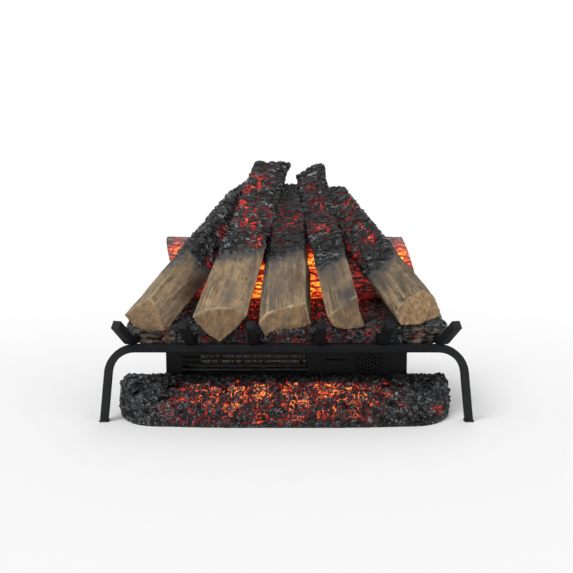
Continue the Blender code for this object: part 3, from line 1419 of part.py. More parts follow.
def light_slot(top):
    """Two corners of the slot that lets light up from the lamps into the rear log."""
    half = LIGHT_SLOT_WIDTH / 2
    low = (-LIGHT_SLOT_HALF_LENGTH, REAR_LOG_Y - half, lid_top + OVERRUN)
    return low, (LIGHT_SLOT_HALF_LENGTH, REAR_LOG_Y + half, top)


def make_logs():
    rear = piece_from("rear_log", "glow_log", lambda shape: fill_rear_log(shape, 0))
    combine(rear, cutter_from("rear_log_hollow", lambda shape: fill_rear_log(shape, -REAR_LOG_WALL)))
    cut(rear, lambda shape: add_box(shape, *light_slot(REAR_LOG_Z - REAR_LOG_RADIUS / 2)))
    log_seats["rear_log"] = cutter_from("rear_log_seat", lambda shape: fill_rear_log(shape, SEAT_GAP))
    logs = {"rear_log": rear}
    for name, shares in LOG_SHARES.items():
        logs[name] = piece_from(name, "split_wood", lambda shape: fill_log(shape, shares, 0, BARK_RELIEF))
        log_seats[name] = cutter_from(name + "_seat", lambda shape: fill_log(shape, shares, SEAT_REACH, 0))
    for name in LOG_SHARES:
        combine(logs[name], log_seats["rear_log"])
    for name, fronts in (("log_1", ("log_2",)), ("log_3", ("log_2", "log_4")), ("log_5", ("log_4",))):
        for front in fronts:
            combine(logs[name], log_seats[front])
    return list(logs.values())


def centre_on_origin():
    """Move the frame so that the set's box is centred over the origin."""
    bpy.context.view_layer.update()
    graph = bpy.context.evaluated_depsgraph_get()
    low = math.inf
    high = -math.inf
    for piece in bpy.context.scene.objects:
        if piece.type != "MESH" or piece.hide_render:
            continue
        ready = piece.evaluated_get(graph)
        places = [(ready.matrix_world @ vert.co).y for vert in ready.data.vertices]
        low = min([low] + places)
        high = max([high] + places)
    frame_empty.location.y = -(low + high) / 2


make_rail()
grate_bars = make_bars()
make_rear_rail()
box_chassis = make_chassis()
make_lid()
make_front_panel()
make_rear_panel()
make_screws(box_chassis)
make_rubber_feet()
make_door()
make_tray()
make_buttons()
make_control_board()
make_speaker()
make_duct()
make_wheel()
make_motor_and_bearing()
make_element()
make_cutout()
make_power_board()
make_rocker()
make_gland()
make_spindle()
make_lamp_board()
make_mat()
make_mat_contact()
all_logs = make_logs()
make_bed(grate_bars, all_logs)
centre_on_origin()
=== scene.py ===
"""Dresses the electric log set: carved logs, ember bed and mat, painted steel, and a plain studio.

Metres, +Z up, +X to the right, +Y to the back. The packed solids stay where they are. Every new piece is
carved out of a copy of one of them, so it keeps that solid's size and place.
"""
import json
import math

import bmesh
import bpy
import numpy as np
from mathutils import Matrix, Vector

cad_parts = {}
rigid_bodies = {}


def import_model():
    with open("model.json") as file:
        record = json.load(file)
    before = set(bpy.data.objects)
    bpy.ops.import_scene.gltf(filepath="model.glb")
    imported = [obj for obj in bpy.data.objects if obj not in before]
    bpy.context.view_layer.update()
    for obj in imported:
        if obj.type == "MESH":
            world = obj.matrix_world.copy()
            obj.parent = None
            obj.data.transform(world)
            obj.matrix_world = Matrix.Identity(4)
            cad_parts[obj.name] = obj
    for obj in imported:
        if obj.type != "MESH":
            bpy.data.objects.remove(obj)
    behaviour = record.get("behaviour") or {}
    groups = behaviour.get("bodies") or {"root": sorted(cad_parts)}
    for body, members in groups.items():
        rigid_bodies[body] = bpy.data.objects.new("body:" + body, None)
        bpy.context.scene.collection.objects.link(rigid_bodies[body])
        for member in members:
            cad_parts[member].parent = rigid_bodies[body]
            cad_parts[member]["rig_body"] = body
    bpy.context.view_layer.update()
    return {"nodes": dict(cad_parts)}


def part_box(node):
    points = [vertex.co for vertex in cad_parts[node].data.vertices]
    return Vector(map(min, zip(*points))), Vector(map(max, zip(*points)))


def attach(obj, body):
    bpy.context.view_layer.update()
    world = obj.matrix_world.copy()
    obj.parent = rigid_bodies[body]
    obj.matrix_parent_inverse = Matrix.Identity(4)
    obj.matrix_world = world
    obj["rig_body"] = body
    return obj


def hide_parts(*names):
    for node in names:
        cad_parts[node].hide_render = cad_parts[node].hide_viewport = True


bl_info = {
    "name": "Electric Log Set",
    "version": (1, 0, 0),
    "blender": (4, 5, 0),
    "location": "3D View > Sidebar > Log Set",
    "description": "Carves and paints an electric log set: ember bed, grate, heater box and floor mat",
    "category": "Add Mesh",
}

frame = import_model()
nodes = frame["nodes"]

WHITE = (1.0, 1.0, 1.0)


# Settings

def colour(name, default, description):
    return bpy.props.FloatVectorProperty(
        name=name, description=description, subtype="COLOR", size=3, min=0.0, max=1.0, default=default)


def length(name, default, description):
    return bpy.props.FloatProperty(
        name=name, description=description, subtype="DISTANCE", unit="LENGTH", min=0.0, default=default)


def amount(name, default, description):
    return bpy.props.FloatProperty(name=name, description=description, min=0.0, default=default)


def angle(name, default, description):
    return bpy.props.FloatProperty(
        name=name, description=description, subtype="ANGLE", unit="ROTATION", default=default)


class LogSettings(bpy.types.PropertyGroup):
    """Colours and carving of the five standing logs."""
    wood: colour("Sawn wood", (0.400, 0.276, 0.147), "Split faces of the logs")
    wood_dark: colour("Wood shadow", (0.150, 0.096, 0.050), "Darker fibres of the split faces")
    # Pale wood for the pale streaks, and a painted highlight along the sharp ridges
    wood_worn: colour("Worn wood", (0.500, 0.400, 0.240), "Rubbed ridges and pale streaks")
    weathered: colour("Weathered wood", (0.225, 0.185, 0.138), "Greyed patches of the split faces")
    end_grain: colour("End grain", (0.340, 0.205, 0.097), "Sawn ends of the logs")
    scorch: colour("Scorch", (0.062, 0.060, 0.062), "Wood that is darkened but not yet black")
    # Painted shade with a red cast of ember light, laid on some facets of the logs
    singe: colour("Singed wood", (0.055, 0.017, 0.011), "Facets that are baked red-brown by the embers")
    voxel: length("Carving step", 0.00135, "Size of the mesh that the bark is carved in")
    plate_width: length("Bark plate width", 0.0240, "Width of a plate of charred bark, across the log")
    plate_height: length("Bark plate height", 0.0105, "Height of a plate of charred bark, along the log")
    scorch_length: length("Scorched length", 0.0380, "Length over which wood turns to char")
    char_rise: length("Char rise", 0.0025, "How far the char stands out beyond the wood")
    swell: length("Swelling", 0.0030, "How far the char stands out at a swell spot of strength 1")
    glow: amount("Glow", 1.15, "Brightness of the cracks in the bark")


class RearLogSettings(bpy.types.PropertyGroup):
    """Colours and carving of the log that lies across the back."""
    bark: colour("Bark", (0.290, 0.215, 0.200), "Pale ridges of the bark")
    bark_dark: colour("Dark bark", (0.085, 0.052, 0.048), "Darker fibres of the bark")
    furrow: colour("Furrow", (0.024, 0.015, 0.013), "Long furrows in the bark")
    lit_bark: colour("Lit bark", (0.050, 0.026, 0.014), "Bark that the light shines through")
    glow_middle: colour("Middle glow", (0.850, 0.070, 0.012), "Where some light comes through")
    glow_warm: colour("Warm glow", (1.000, 0.280, 0.022), "Where much light comes through")
    glow_hot: colour("Hot glow", (1.000, 0.660, 0.090), "Over the lamps")
    voxel: length("Carving step", 0.0017, "Size of the mesh that the bark is carved in")
    glow: amount("Glow", 1.2, "Brightness of the light from within")


class EmberSettings(bpy.types.PropertyGroup):
    """Colours and carving of the ember bed and of the mat on the floor."""
    char: colour("Char", (0.0060, 0.0062, 0.0070), "Charred bark and coals")
    # Grey dusting on the coals, and painted glints on their crests and facets
    ash: colour("Ash", (0.230, 0.240, 0.255), "Worn tops of the coals")
    tan_bark: colour("Unburnt bark", (0.150, 0.118, 0.082), "Patches of bark at the bed's front corners")
    ember_dark: colour("Dark ember", (0.260, 0.006, 0.005), "Coolest glow")
    ember: colour("Ember", (0.900, 0.055, 0.018), "Middle glow")
    ember_bright: colour("Bright ember", (1.000, 0.330, 0.070), "Hottest glow")
    bed_coal: length("Bed coal size", 0.0130, "Size of the coals in the bed")
    mat_coal: length("Mat coal size", 0.0085, "Size of the coals in the mat")
    voxel: length("Mat carving step", 0.0015, "Size of the mesh that the mat's coals are carved in")
    bed_voxel: length("Bed carving step", 0.00156, "Size of the mesh that the bed's coals are carved in")
    glow: amount("Glow", 1.15, "Brightness between the coals")


class SteelSettings(bpy.types.PropertyGroup):
    """Colours of the grate and of the heater box."""
    grate: colour("Grate", (0.0055, 0.0062, 0.0072), "Powder coat of the rail, legs and bars")
    # Painted sheen: the legs and the rail's ends painted a little paler, standing in for reflected light
    dust: colour("Dust", (0.450, 0.450, 0.460), "Dust on the rail's ends and on the legs")
    sheet: colour("Box sheet", (0.0058, 0.0062, 0.0062), "Paint of the heater box")
    # Painted highlight: a pale line along the lip of the lowest outlet slot
    worn_lip: colour("Worn lip", (0.115, 0.115, 0.112), "Rubbed paint below the lowest outlet slot")
    plastic: colour("Plastic", (0.012, 0.012, 0.012), "Tray, switch frame, plugs and the mat's base")
    button: colour("Buttons", (0.140, 0.140, 0.138), "Buttons behind the flap")
    edge_radius: length("Edge radius", 0.0008, "Rounding of the bars' edges")


class StageSettings(bpy.types.PropertyGroup):
    """Floor, lamps and camera."""
    floor: colour("Floor", (0.93, 0.93, 0.93), "Pale studio floor")
    floor_near: length("Floor shadow", 0.45, "Distance within which the floor keeps its shading")
    floor_far: length("Floor end", 1.60, "Distance beyond which the floor is plain white")
    ambient: amount("Ambient", 0.48, "Light from all round")
    key: amount("Key lamp", 1.65, "Soft lamp from the front left")
    fill: amount("Fill lamp", 0.35, "Soft lamp from the front right")
    back: amount("Back lamp", 0.35, "Soft lamp from behind")
    distance: length("Camera distance", 1.5384, "From the camera to the middle of the set")
    height: length("Camera height", 0.3850, "Height of the camera")
    tilt: angle("Camera tilt", math.radians(83.5), "Turn of the camera up from straight down")
    lens: amount("Lens", 56.545, "Focal length in millimetres on a 36 mm sensor")


GROUPS = {
    "log_look": LogSettings,
    "rear_log_look": RearLogSettings,
    "ember_look": EmberSettings,
    "steel_look": SteelSettings,
    "stage_look": StageSettings,
}


def look(name):
    return getattr(bpy.context.scene, name)


# Nodes

def rgba(shade):
    return (*tuple(shade)[:3], 1.0)


def is_socket(value):
    return isinstance(value, bpy.types.NodeSocket)


class Graph:
    """Adds nodes to a tree and links them. The same words draw a material and carve a mesh."""

    def __init__(self, tree):
        self.tree = tree
        self.shader = tree.nodes.get("Principled BSDF")

    def feed(self, node, inputs):
        """Link a node's inputs, or set them."""
        for name, value in inputs.items():
            if is_socket(value):
                self.tree.links.new(value, node.inputs[name])
            else:
                node.inputs[name].default_value = value

    def add(self, kind, inputs=None, output=0, **settings):
        node = self.tree.nodes.new(kind)
        for name, value in settings.items():
            setattr(node, name, value)
        self.feed(node, inputs or {})
        return node.outputs[output]

    def math(self, operation, first, *others):
        """One operation, taken from left to right over all the values."""
        for other in others or (0.0,):
            first = self.add("ShaderNodeMath", {0: first, 1: other}, operation=operation)
        return first

    def plus(self, *values):
        return self.math("ADD", *values)

    def minus(self, *values):
        return self.math("SUBTRACT", *values)

    def times(self, *values):
        return self.math("MULTIPLY", *values)

    def most(self, *values):
        return self.math("MAXIMUM", *values)

    def blend(self, value, share):
        """A value from 0 to 1 made to run from 1 - share to 1."""
        return self.plus(self.times(value, share), 1.0 - share)

    def vector(self, operation, first, second=(0.0, 0.0, 0.0)):
        output = 1 if operation in ("DOT_PRODUCT", "LENGTH") else 0
        return self.add("ShaderNodeVectorMath", {0: first, 1: second}, output, operation=operation)

    def scaled(self, place, factors):
        return self.vector("MULTIPLY", place, factors)

    def parts(self, place):
        """The three parts of a place."""
        return self.add("ShaderNodeSeparateXYZ", {0: place}).node.outputs

    def on_object(self):
        """The place on the object."""
        return self.add("ShaderNodeTexCoord", None, "Object")

    def on_mesh(self, name, is_vector=False):
        """A value stored on the mesh."""
        if self.tree.bl_idname == "GeometryNodeTree":
            kind = "FLOAT_VECTOR" if is_vector else "FLOAT"
            return self.add("GeometryNodeInputNamedAttribute", {"Name": name}, data_type=kind)
        return self.add("ShaderNodeAttribute", None, "Vector" if is_vector else "Fac", attribute_name=name)

    def grain(self):
        """The place that follows the piece's own length, stored on the mesh."""
        return self.on_mesh("grain", True)

    def fade(self, value, low, high):
        """Rises smoothly from 0 at low to 1 at high."""
        return self.add("ShaderNodeMapRange", {"Value": value, "From Min": low, "From Max": high},
                        interpolation_type="SMOOTHSTEP")

    def crossing(self, value, wide, narrow):
        """Lines where a noise passes its middle: 1 within narrow of it, 0 beyond wide."""
        return self.fade(self.math("ABSOLUTE", self.minus(value, 0.5)), wide, narrow)

    def noise(self, place, scale, detail=2.0, roughness=0.5, output=0, stretch=None):
        """Soft noise; a stretch below 1 draws it out along that direction."""
        place = self.scaled(place, stretch) if stretch else place
        inputs = {"Vector": place, "Scale": scale, "Detail": detail, "Roughness": roughness}
        return self.add("ShaderNodeTexNoise", inputs, output)

    def cells(self, place, output, feature="F1"):
        return self.add("ShaderNodeTexVoronoi", {"Vector": place, "Scale": 1.0}, output, feature=feature)

    def mix(self, share, first, second):
        """Two colours, each a socket or a plain one, mixed."""
        first, second = (shade if is_socket(shade) else rgba(shade) for shade in (first, second))
        return self.add("ShaderNodeMix", {0: share, 6: first, 7: second}, 2, data_type="RGBA")

    def ramp(self, value, stops):
        made = self.add("ShaderNodeValToRGB", {"Fac": value})
        bands = made.node.color_ramp.elements
        while len(bands) < len(stops):
            bands.new(1.0)
        for band, (place, shade) in zip(bands, stops):
            band.position = place
            band.color = rgba(shade)
        return made

    def bump(self, height, depth, strength=1.0):
        """A normal from a height in units of depth, in metres."""
        return self.add("ShaderNodeBump", {"Height": height, "Distance": depth, "Strength": strength})

    def off_screen(self):
        """1 for rays that end in the camera, directly or mirrored, and 0 for those that light the object."""
        path = self.add("ShaderNodeLightPath").node.outputs
        return self.most(path["Is Camera Ray"], path["Is Glossy Ray"], path["Is Transmission Ray"])


def new_material(name):
    """A material and its graph."""
    material = bpy.data.materials.new(name)
    material.use_nodes = True
    return material, Graph(material.node_tree)


# Meshes

def numbered(stem, count):
    return [stem + str(number) for number in range(1, count + 1)]


def select_only(piece):
    bpy.ops.object.select_all(action="DESELECT")
    piece.select_set(True)
    bpy.context.view_layer.objects.active = piece


def apply_modifier(piece, kind, **settings):
    step = piece.modifiers.new("step", kind)
    for name, value in settings.items():
        setattr(step, name, value)
    select_only(piece)
    bpy.ops.object.modifier_apply(modifier=step.name)


WELD = 0.00002
FLAT = math.radians(0.5)


def welded_copy(node, name):
    """A copy of a solid's mesh with its loose triangles joined up and its flat faces made whole."""
    piece = bpy.data.objects.new(name, nodes[node].data.copy())
    piece.data.name = name
    bpy.context.scene.collection.objects.link(piece)
    select_only(piece)
    bpy.ops.object.mode_set(mode="EDIT")
    bpy.ops.mesh.select_all(action="SELECT")
    bpy.ops.mesh.remove_doubles(threshold=WELD)
    bpy.ops.mesh.dissolve_limited(angle_limit=FLAT)
    bpy.ops.object.mode_set(mode="OBJECT")
    return piece


def stand_for(piece, node, material):
    """Paint a finished piece and let it stand for its solid, on the same body."""
    piece.data.materials.clear()
    piece.data.materials.append(material)
    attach(piece, nodes[node]["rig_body"])
    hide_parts(node)


def points_of(piece):
    places = np.zeros(len(piece.data.vertices) * 3, np.float32)
    piece.data.vertices.foreach_get("co", places)
    return places.reshape(-1, 3).astype(float)


def normals_of(piece):
    ways = np.zeros(len(piece.data.vertices) * 3, np.float32)
    piece.data.vertex_normals.foreach_get("vector", ways)
    return ways.reshape(-1, 3).astype(float)


def store(piece, **fields):
    """Keep values or vectors for the points of a mesh, or one value for all of them."""
    for name, values in fields.items():
        values = np.asarray(values, np.float32)
        if values.ndim == 0:
            values = np.full(len(piece.data.vertices), values)
        kind, field = ("FLOAT_VECTOR", "vector") if values.ndim == 2 else ("FLOAT", "value")
        piece.data.attributes.new(name, kind, "POINT").data.foreach_set(field, values.ravel())


def smooth_step(values, low, high):
    share = np.clip((values - low) / (high - low), 0.0, 1.0)
    return share * share * (3.0 - 2.0 * share)


def carve(piece, draw):
    """Push a mesh along its normals by the height that draw works out in nodes, and by its own shift."""
    tree = bpy.data.node_groups.new("carving", "GeometryNodeTree")
    tree.interface.new_socket("Geometry", in_out="INPUT", socket_type="NodeSocketGeometry")
    tree.interface.new_socket("Geometry", in_out="OUTPUT", socket_type="NodeSocketGeometry")
    graph = Graph(tree)
    whole = graph.add("NodeGroupInput")
    way = graph.add("GeometryNodeInputNormal")
    push = graph.add("ShaderNodeVectorMath", {0: way, "Scale": draw(graph)}, operation="SCALE")
    push = graph.vector("ADD", push, graph.on_mesh("shift", True))
    moved = graph.add("GeometryNodeSetPosition", {"Geometry": whole, "Offset": push})
    tree.links.new(moved, tree.nodes.new("NodeGroupOutput").inputs[0])
    apply_modifier(piece, "NODES", node_group=tree)
    bpy.data.node_groups.remove(tree)


def remesh(piece, voxel):
    apply_modifier(piece, "REMESH", mode="VOXEL", voxel_size=voxel, use_smooth_shade=True)


def modify_part(piece, chosen, kind, **settings):
    """Apply a modifier to the chosen points only."""
    group = piece.vertex_groups.new(name="chosen")
    group.add(np.flatnonzero(chosen).tolist(), 1.0, "REPLACE")
    apply_modifier(piece, kind, vertex_group=group.name, **settings)
    piece.vertex_groups.clear()


HIDDEN_SHARE = 0.62


def thin_out(piece, hidden):
    """Thin the mesh where it can't be seen, down to a share of the whole."""
    modify_part(piece, hidden, "DECIMATE", ratio=HIDDEN_SHARE)


def sharp_edges(piece, angle):
    """Ends of the edges at which a mesh turns by more than an angle."""
    shape = bmesh.new()
    shape.from_mesh(piece.data)
    pairs = [(tuple(edge.verts[0].co), tuple(edge.verts[1].co)) for edge in shape.edges
             if edge.is_manifold and edge.calc_face_angle() > angle]
    shape.free()
    return np.array(pairs)


def distance_to_edges(points, pairs):
    nearest = np.full(len(points), 1.0)
    for start, end in pairs:
        along = end - start
        share = np.clip((points - start) @ along / (along @ along), 0.0, 1.0)
        nearest = np.minimum(nearest, np.linalg.norm(points - start - share[:, None] * along, axis=1))
    return nearest


def strength_at(points, spots):
    """The strongest of soft spots, each given as x, height, radius and strength."""
    strongest = np.zeros(len(points))
    for x, height, radius, strength in spots:
        square = ((points[:, 0] - x) ** 2 + (points[:, 2] - height) ** 2) / radius ** 2
        strongest = np.maximum(strongest, strength * np.exp(-square))
    return strongest


# Charred bark and coals

def coal_fields(graph, width, height, lean_share=0.10, lumps=0.0018, crack=0.060):
    """Plates or coals of a given size: 1 on a plate and 0 in the crack, crests of the folds from 0 to 1,
    and the surface's height in metres. lean_share is how far each one leans, lumps how far they swell,
    and crack the width of the cracks."""
    place = graph.grain()
    swirl = graph.vector("SUBTRACT", graph.noise(place, 62.0, 3.0, 0.6, output=1), (0.5, 0.5, 0.5))
    bent = graph.vector("ADD", place, graph.scaled(swirl, (0.014, 0.014, 1.5 * height)))
    scaled = graph.scaled(bent, (1.0 / width, 1.0 / width, 1.0 / height))
    plate = graph.fade(graph.cells(scaled, 0, "DISTANCE_TO_EDGE"), 0.010, 0.030 + crack * width / 0.012)
    away = graph.vector("SUBTRACT", scaled, graph.cells(scaled, 2))
    lean = graph.vector("SUBTRACT", graph.cells(scaled, 1), (0.5, 0.5, 0.2))
    tilted = graph.vector("DOT_PRODUCT", away, lean)
    flat = 0.65 * height / width
    crest = graph.crossing(graph.noise(bent, 1.5 / height, stretch=(flat, flat, 1.0)), 0.095, 0.0)
    rise = graph.plus(
        graph.times(tilted, lean_share * (width + height)),
        graph.times(plate, 0.0013),
        graph.times(crest, 0.0012),
        graph.times(graph.minus(graph.noise(place, 300.0, 3.0, 0.6), 0.5), 0.0010),
        graph.times(graph.minus(graph.noise(place, 60.0), 0.55), lumps))
    return plate, crest, graph.minus(rise, 0.0018)


def coal_relief(fields, share, push):
    """What carve draws for coals: a share of their height outside, and a plain push inside."""
    def draw(graph):
        _, _, rise = coal_fields(graph, *fields)
        outside = graph.times(rise, graph.times(graph.on_mesh("outside"), share))
        return graph.plus(outside, graph.times(graph.on_mesh("inside"), push))
    return draw


def crumbs(graph):
    """Fine crumpled facets of the char, too small for the mesh, from 0 to 1."""
    place = graph.grain()
    scaled = graph.scaled(place, (330.0, 330.0, 380.0))
    away = graph.vector("SUBTRACT", scaled, graph.cells(scaled, 2))
    lean = graph.vector("SUBTRACT", graph.cells(scaled, 1), (0.5, 0.5, 0.5))
    facet = graph.vector("DOT_PRODUCT", away, lean)
    return graph.plus(facet, 0.30, graph.times(graph.noise(place, 900.0, 3.0, 0.6), 0.5))


def coal_colour(graph, plate, crest, facet):
    """Black in the cracks, a grey dusting on the plates, and painted glints: pale highlights on the crests
    of the folds and on some facets.
    """
    settings = look("ember_look")
    place = graph.grain()
    patch = graph.fade(graph.noise(place, 110.0, 3.0, 0.65), 0.44, 0.66)
    # Painted glints on the crests and on some facets, then a grey dusting
    painted_highlight = graph.times(graph.fade(crest, 0.66, 0.96), patch)
    facet_glint = graph.times(graph.fade(facet, 0.70, 0.82), patch)
    dust = graph.times(graph.fade(graph.noise(place, 45.0), 0.38, 0.70), 0.06)
    pale = graph.plus(graph.times(painted_highlight, 0.95), graph.times(facet_glint, 0.80), dust)
    cover = graph.math("MINIMUM", graph.times(pale, plate, graph.on_mesh("dusty")), 1.0)
    return graph.mix(cover, settings.char, settings.ash)


def coal_bump(graph, rise, facet):
    """Height of the char's finest facets, in metres."""
    return graph.plus(graph.times(rise, 0.7), graph.times(facet, 0.0016))


def ember_light(graph, plate, warmth, low, high, stretch=(1.0, 1.0, 1.0), patchy=0.65):
    """Colour of the glow: brightest in the cracks, with hot and cool patches between two noise levels.
    stretch draws the small flecks out sideways, and patchy is what the patches take from it."""
    settings = look("ember_look")
    place = graph.grain()
    crack = graph.math("POWER", graph.minus(1.0, plate), 1.7)
    cluster = graph.fade(graph.noise(place, 48.0), low, high)
    fleck = graph.fade(graph.noise(place, 230.0, 2.0, 0.6, stretch=stretch), 0.34, 0.60)
    patches = graph.times(warmth, graph.blend(cluster, patchy), graph.blend(fleck, patchy))
    hot = graph.times(patches, graph.blend(crack, 0.94))
    return graph.ramp(hot, (
        (0.03, (0.0, 0.0, 0.0)), (0.13, (0.040, 0.001, 0.001)), (0.38, settings.ember_dark),
        (0.66, settings.ember), (0.94, settings.ember_bright)))


# Logs

LOGS = numbered("log_", 5)
# Tones, wear, painted ridge highlights and painted char glints of the five logs, in their order
LOG_VALUES = {
    "tone": (1.06, 1.05, 0.98, 0.82, 0.84),
    "end_tone": (1.02, 1.00, 1.42, 1.02, 1.55),
    "streaks": (0.35, 0.30, 0.90, 0.45, 0.60),
    "splits": (0.25, 0.25, 0.25, 0.25, 1.0),
    "soot": (0.15, 0.20, 0.45, 0.45, 0.45),
    # This row scales the painted glints and the grey dusting on the char
    "dusty": (1.75, 1.75, 0.40, 1.10, 0.70),
    # This row scales the painted highlight along the sharp ridges of the wood
    "ridge_highlight": (1.0, 0.85, 0.95, 0.75, 0.15),
    "tip_lift": (0.001, 0.003, 0.002, 0.004, 0.0065),
}
# The line above which each log is charred, as x and height
SCORCH_LINES = (
    ((-0.205, 0.247), (-0.163, 0.272), (-0.152, 0.250), (-0.130, 0.238)),
    ((-0.118, 0.262), (-0.078, 0.270), (-0.038, 0.277), (-0.028, 0.266)),
    ((-0.045, 0.247), (-0.003, 0.266), (0.031, 0.278)),
    ((0.055, 0.244), (0.083, 0.257), (0.106, 0.275)),
    ((0.130, 0.228), (0.159, 0.246), (0.183, 0.268)),
)
# Soft spots on each log, as x, height, radius and strength
LOG_SPOTS = {
    # Spots where the wood is darkened to the scorch colour
    "darkening": (
        (),
        (),
        ((-0.035, 0.215, 0.030, 0.6), (-0.040, 0.240, 0.030, 0.7)),
        ((0.100, 0.207, 0.018, 0.95), (0.070, 0.235, 0.020, 0.6)),
        ((0.150, 0.225, 0.020, 0.6),),
    ),
    # Painted shade with a red ember cast on these facets
    "singe": (
        ((-0.148, 0.217, 0.024, 0.95), (-0.160, 0.205, 0.018, 0.75), (-0.128, 0.235, 0.020, 0.7)),
        (),
        ((0.042, 0.170, 0.012, 0.75), (0.043, 0.200, 0.012, 0.85), (0.044, 0.230, 0.012, 0.9)),
        ((0.118, 0.215, 0.012, 0.6),),
        ((0.138, 0.205, 0.012, 0.6),),
    ),
    "swell": (
        (),
        ((-0.088, 0.385, 0.026, 2.0), (-0.095, 0.350, 0.020, 0.8), (-0.055, 0.418, 0.015, 1.9)),
        ((0.038, 0.300, 0.020, 1.0),),
        ((0.040, 0.300, 0.020, 1.0), (0.049, 0.408, 0.014, 1.2)),
        (),
    ),
    "heat": (
        ((-0.106, 0.306, 0.012, 0.60), (-0.112, 0.290, 0.012, 0.65), (-0.127, 0.252, 0.013, 0.65),
         (-0.141, 0.217, 0.010, 0.80)),
        ((-0.062, 0.334, 0.026, 1.1), (-0.036, 0.330, 0.016, 0.85), (-0.055, 0.378, 0.026, 0.80),
         (-0.033, 0.400, 0.018, 0.6), (-0.050, 0.286, 0.014, 0.9), (-0.080, 0.350, 0.020, 0.7)),
        ((0.004, 0.325, 0.024, 0.70), (-0.008, 0.296, 0.020, 0.50), (0.018, 0.348, 0.018, 0.45),
         (0.024, 0.322, 0.014, 0.65)),
        ((0.046, 0.378, 0.020, 0.45), (0.055, 0.347, 0.018, 0.60), (0.067, 0.314, 0.020, 0.62),
         (0.052, 0.312, 0.014, 0.65)),
        ((0.114, 0.338, 0.016, 0.75), (0.108, 0.316, 0.014, 1.0), (0.129, 0.308, 0.014, 1.0),
         (0.142, 0.290, 0.012, 0.9), (0.112, 0.270, 0.020, 0.6), (0.105, 0.350, 0.018, 0.6)),
    ),
}
GRAIN_STEP = np.array((0.31, 0.17, 0.53))
RIDGE_ANGLE = math.radians(24)
RIDGE_TOP = 0.285


def log_axis(points):
    """Middle of a log and the ways across, into and along it."""
    middle = points.mean(axis=0)
    along = np.linalg.svd(points - middle, full_matrices=False)[2][0]
    along = along * (1.0 if along[2] > 0 else -1.0)
    across = np.cross((0.0, 1.0, 0.0), along)
    across = across / np.linalg.norm(across)
    return middle, across, np.cross(along, across), along


def foot_plane(piece, along):
    """Middle and normal of the sawn face at a log's foot."""
    faces = [face for face in piece.data.polygons if np.dot(face.normal, along) < -0.55]
    total = sum(face.area for face in faces)
    middle = sum((np.array(face.center) * face.area for face in faces), np.zeros(3)) / total
    normal = sum((np.array(face.normal) * face.area for face in faces), np.zeros(3))
    return middle, normal / np.linalg.norm(normal)


def split_lines(graph):
    """Long splits with short side branches, from 0 to 1."""
    place = graph.grain()
    near = graph.crossing(graph.noise(place, 88.0, 3.0, 0.55, stretch=(1.0, 1.0, 0.17)), 0.024, 0.006)
    return graph.times(near, graph.fade(graph.noise(place, 42.0), 0.44, 0.54))


def wood_height(graph):
    """Fibres and splits of the sawn wood, in metres."""
    place = graph.grain()
    fibre = graph.noise(place, 330.0, 3.0, 0.6, stretch=(1.0, 1.0, 0.07))
    sag = graph.noise(place, 26.0, 1.0)
    rise = graph.plus(
        graph.times(graph.minus(fibre, 0.5), 0.0009),
        graph.times(graph.minus(sag, 0.5), 0.0036))
    return graph.minus(rise, graph.times(split_lines(graph), graph.on_mesh("splits"), 0.0018))


def log_height(graph):
    settings = look("log_look")
    _, _, rise = coal_fields(graph, settings.plate_width, settings.plate_height)
    swell = graph.times(graph.on_mesh("swell"), settings.swell)
    share = graph.fade(graph.on_mesh("char"), 0.40, 0.80)
    char = graph.times(graph.plus(rise, swell, settings.char_rise), share)
    return graph.plus(char, graph.times(wood_height(graph), graph.minus(1.0, share)))


def split_wood(graph, fibre):
    """Split faces: fibres, pale streaks, grey patches, pores and splits."""
    settings = look("log_look")
    place = graph.grain()
    streak = graph.noise(place, 125.0, 3.0, 0.55, stretch=(1.0, 1.0, 0.09))
    blotch = graph.noise(place, 36.0, 3.0, 0.6, stretch=(1.0, 1.0, 0.4))
    tone = graph.plus(graph.times(fibre, 0.40), graph.times(streak, 0.30), graph.times(blotch, 0.30))
    wood = graph.mix(graph.fade(tone, 0.40, 0.57), settings.wood_dark, settings.wood)
    pale = graph.times(graph.fade(streak, 0.52, 0.68), graph.on_mesh("streaks"), 0.7)
    wood = graph.mix(pale, wood, settings.wood_worn)
    grey = graph.fade(graph.noise(place, 34.0, 3.0, 0.55, stretch=(1.0, 1.0, 0.5)), 0.44, 0.66)
    wood = graph.mix(graph.times(grey, 0.6), wood, settings.weathered)
    pore = graph.noise(place, 400.0, 2.0, 0.6, stretch=(1.0, 1.0, 0.35))
    wood = graph.mix(graph.times(graph.fade(pore, 0.60, 0.72), 0.75), wood, settings.scorch)
    split = graph.times(split_lines(graph), graph.on_mesh("splits"), 0.85)
    return graph.mix(split, wood, settings.scorch)


def sawn_wood(graph):
    """Sawn ends: fine rings, rays and blots."""
    settings = look("log_look")
    place = graph.grain()
    middle = graph.vector("ADD", graph.scaled(place, (1.0, 1.0, 0.0)), (0.05, 0.09, 0.0))
    wobble = graph.times(graph.noise(place, 60.0), 0.008)
    rings = graph.math("SINE", graph.times(graph.plus(graph.vector("LENGTH", middle), wobble), 1700.0))
    speck = graph.noise(place, 420.0, 3.0, 0.7)
    ray = graph.noise(place, 290.0, 2.0, 0.55, stretch=(1.0, 0.10, 0.35))
    speck = graph.plus(graph.times(speck, 0.45), graph.times(ray, 0.55))
    tone = graph.plus(graph.times(rings, 0.03), speck)
    wood = graph.mix(graph.fade(tone, 0.34, 0.60), settings.wood_dark, settings.end_grain)
    blot = graph.fade(graph.noise(place, 75.0, 4.0, 0.65), 0.40, 0.66)
    return graph.mix(graph.times(blot, 0.45), wood, settings.wood)


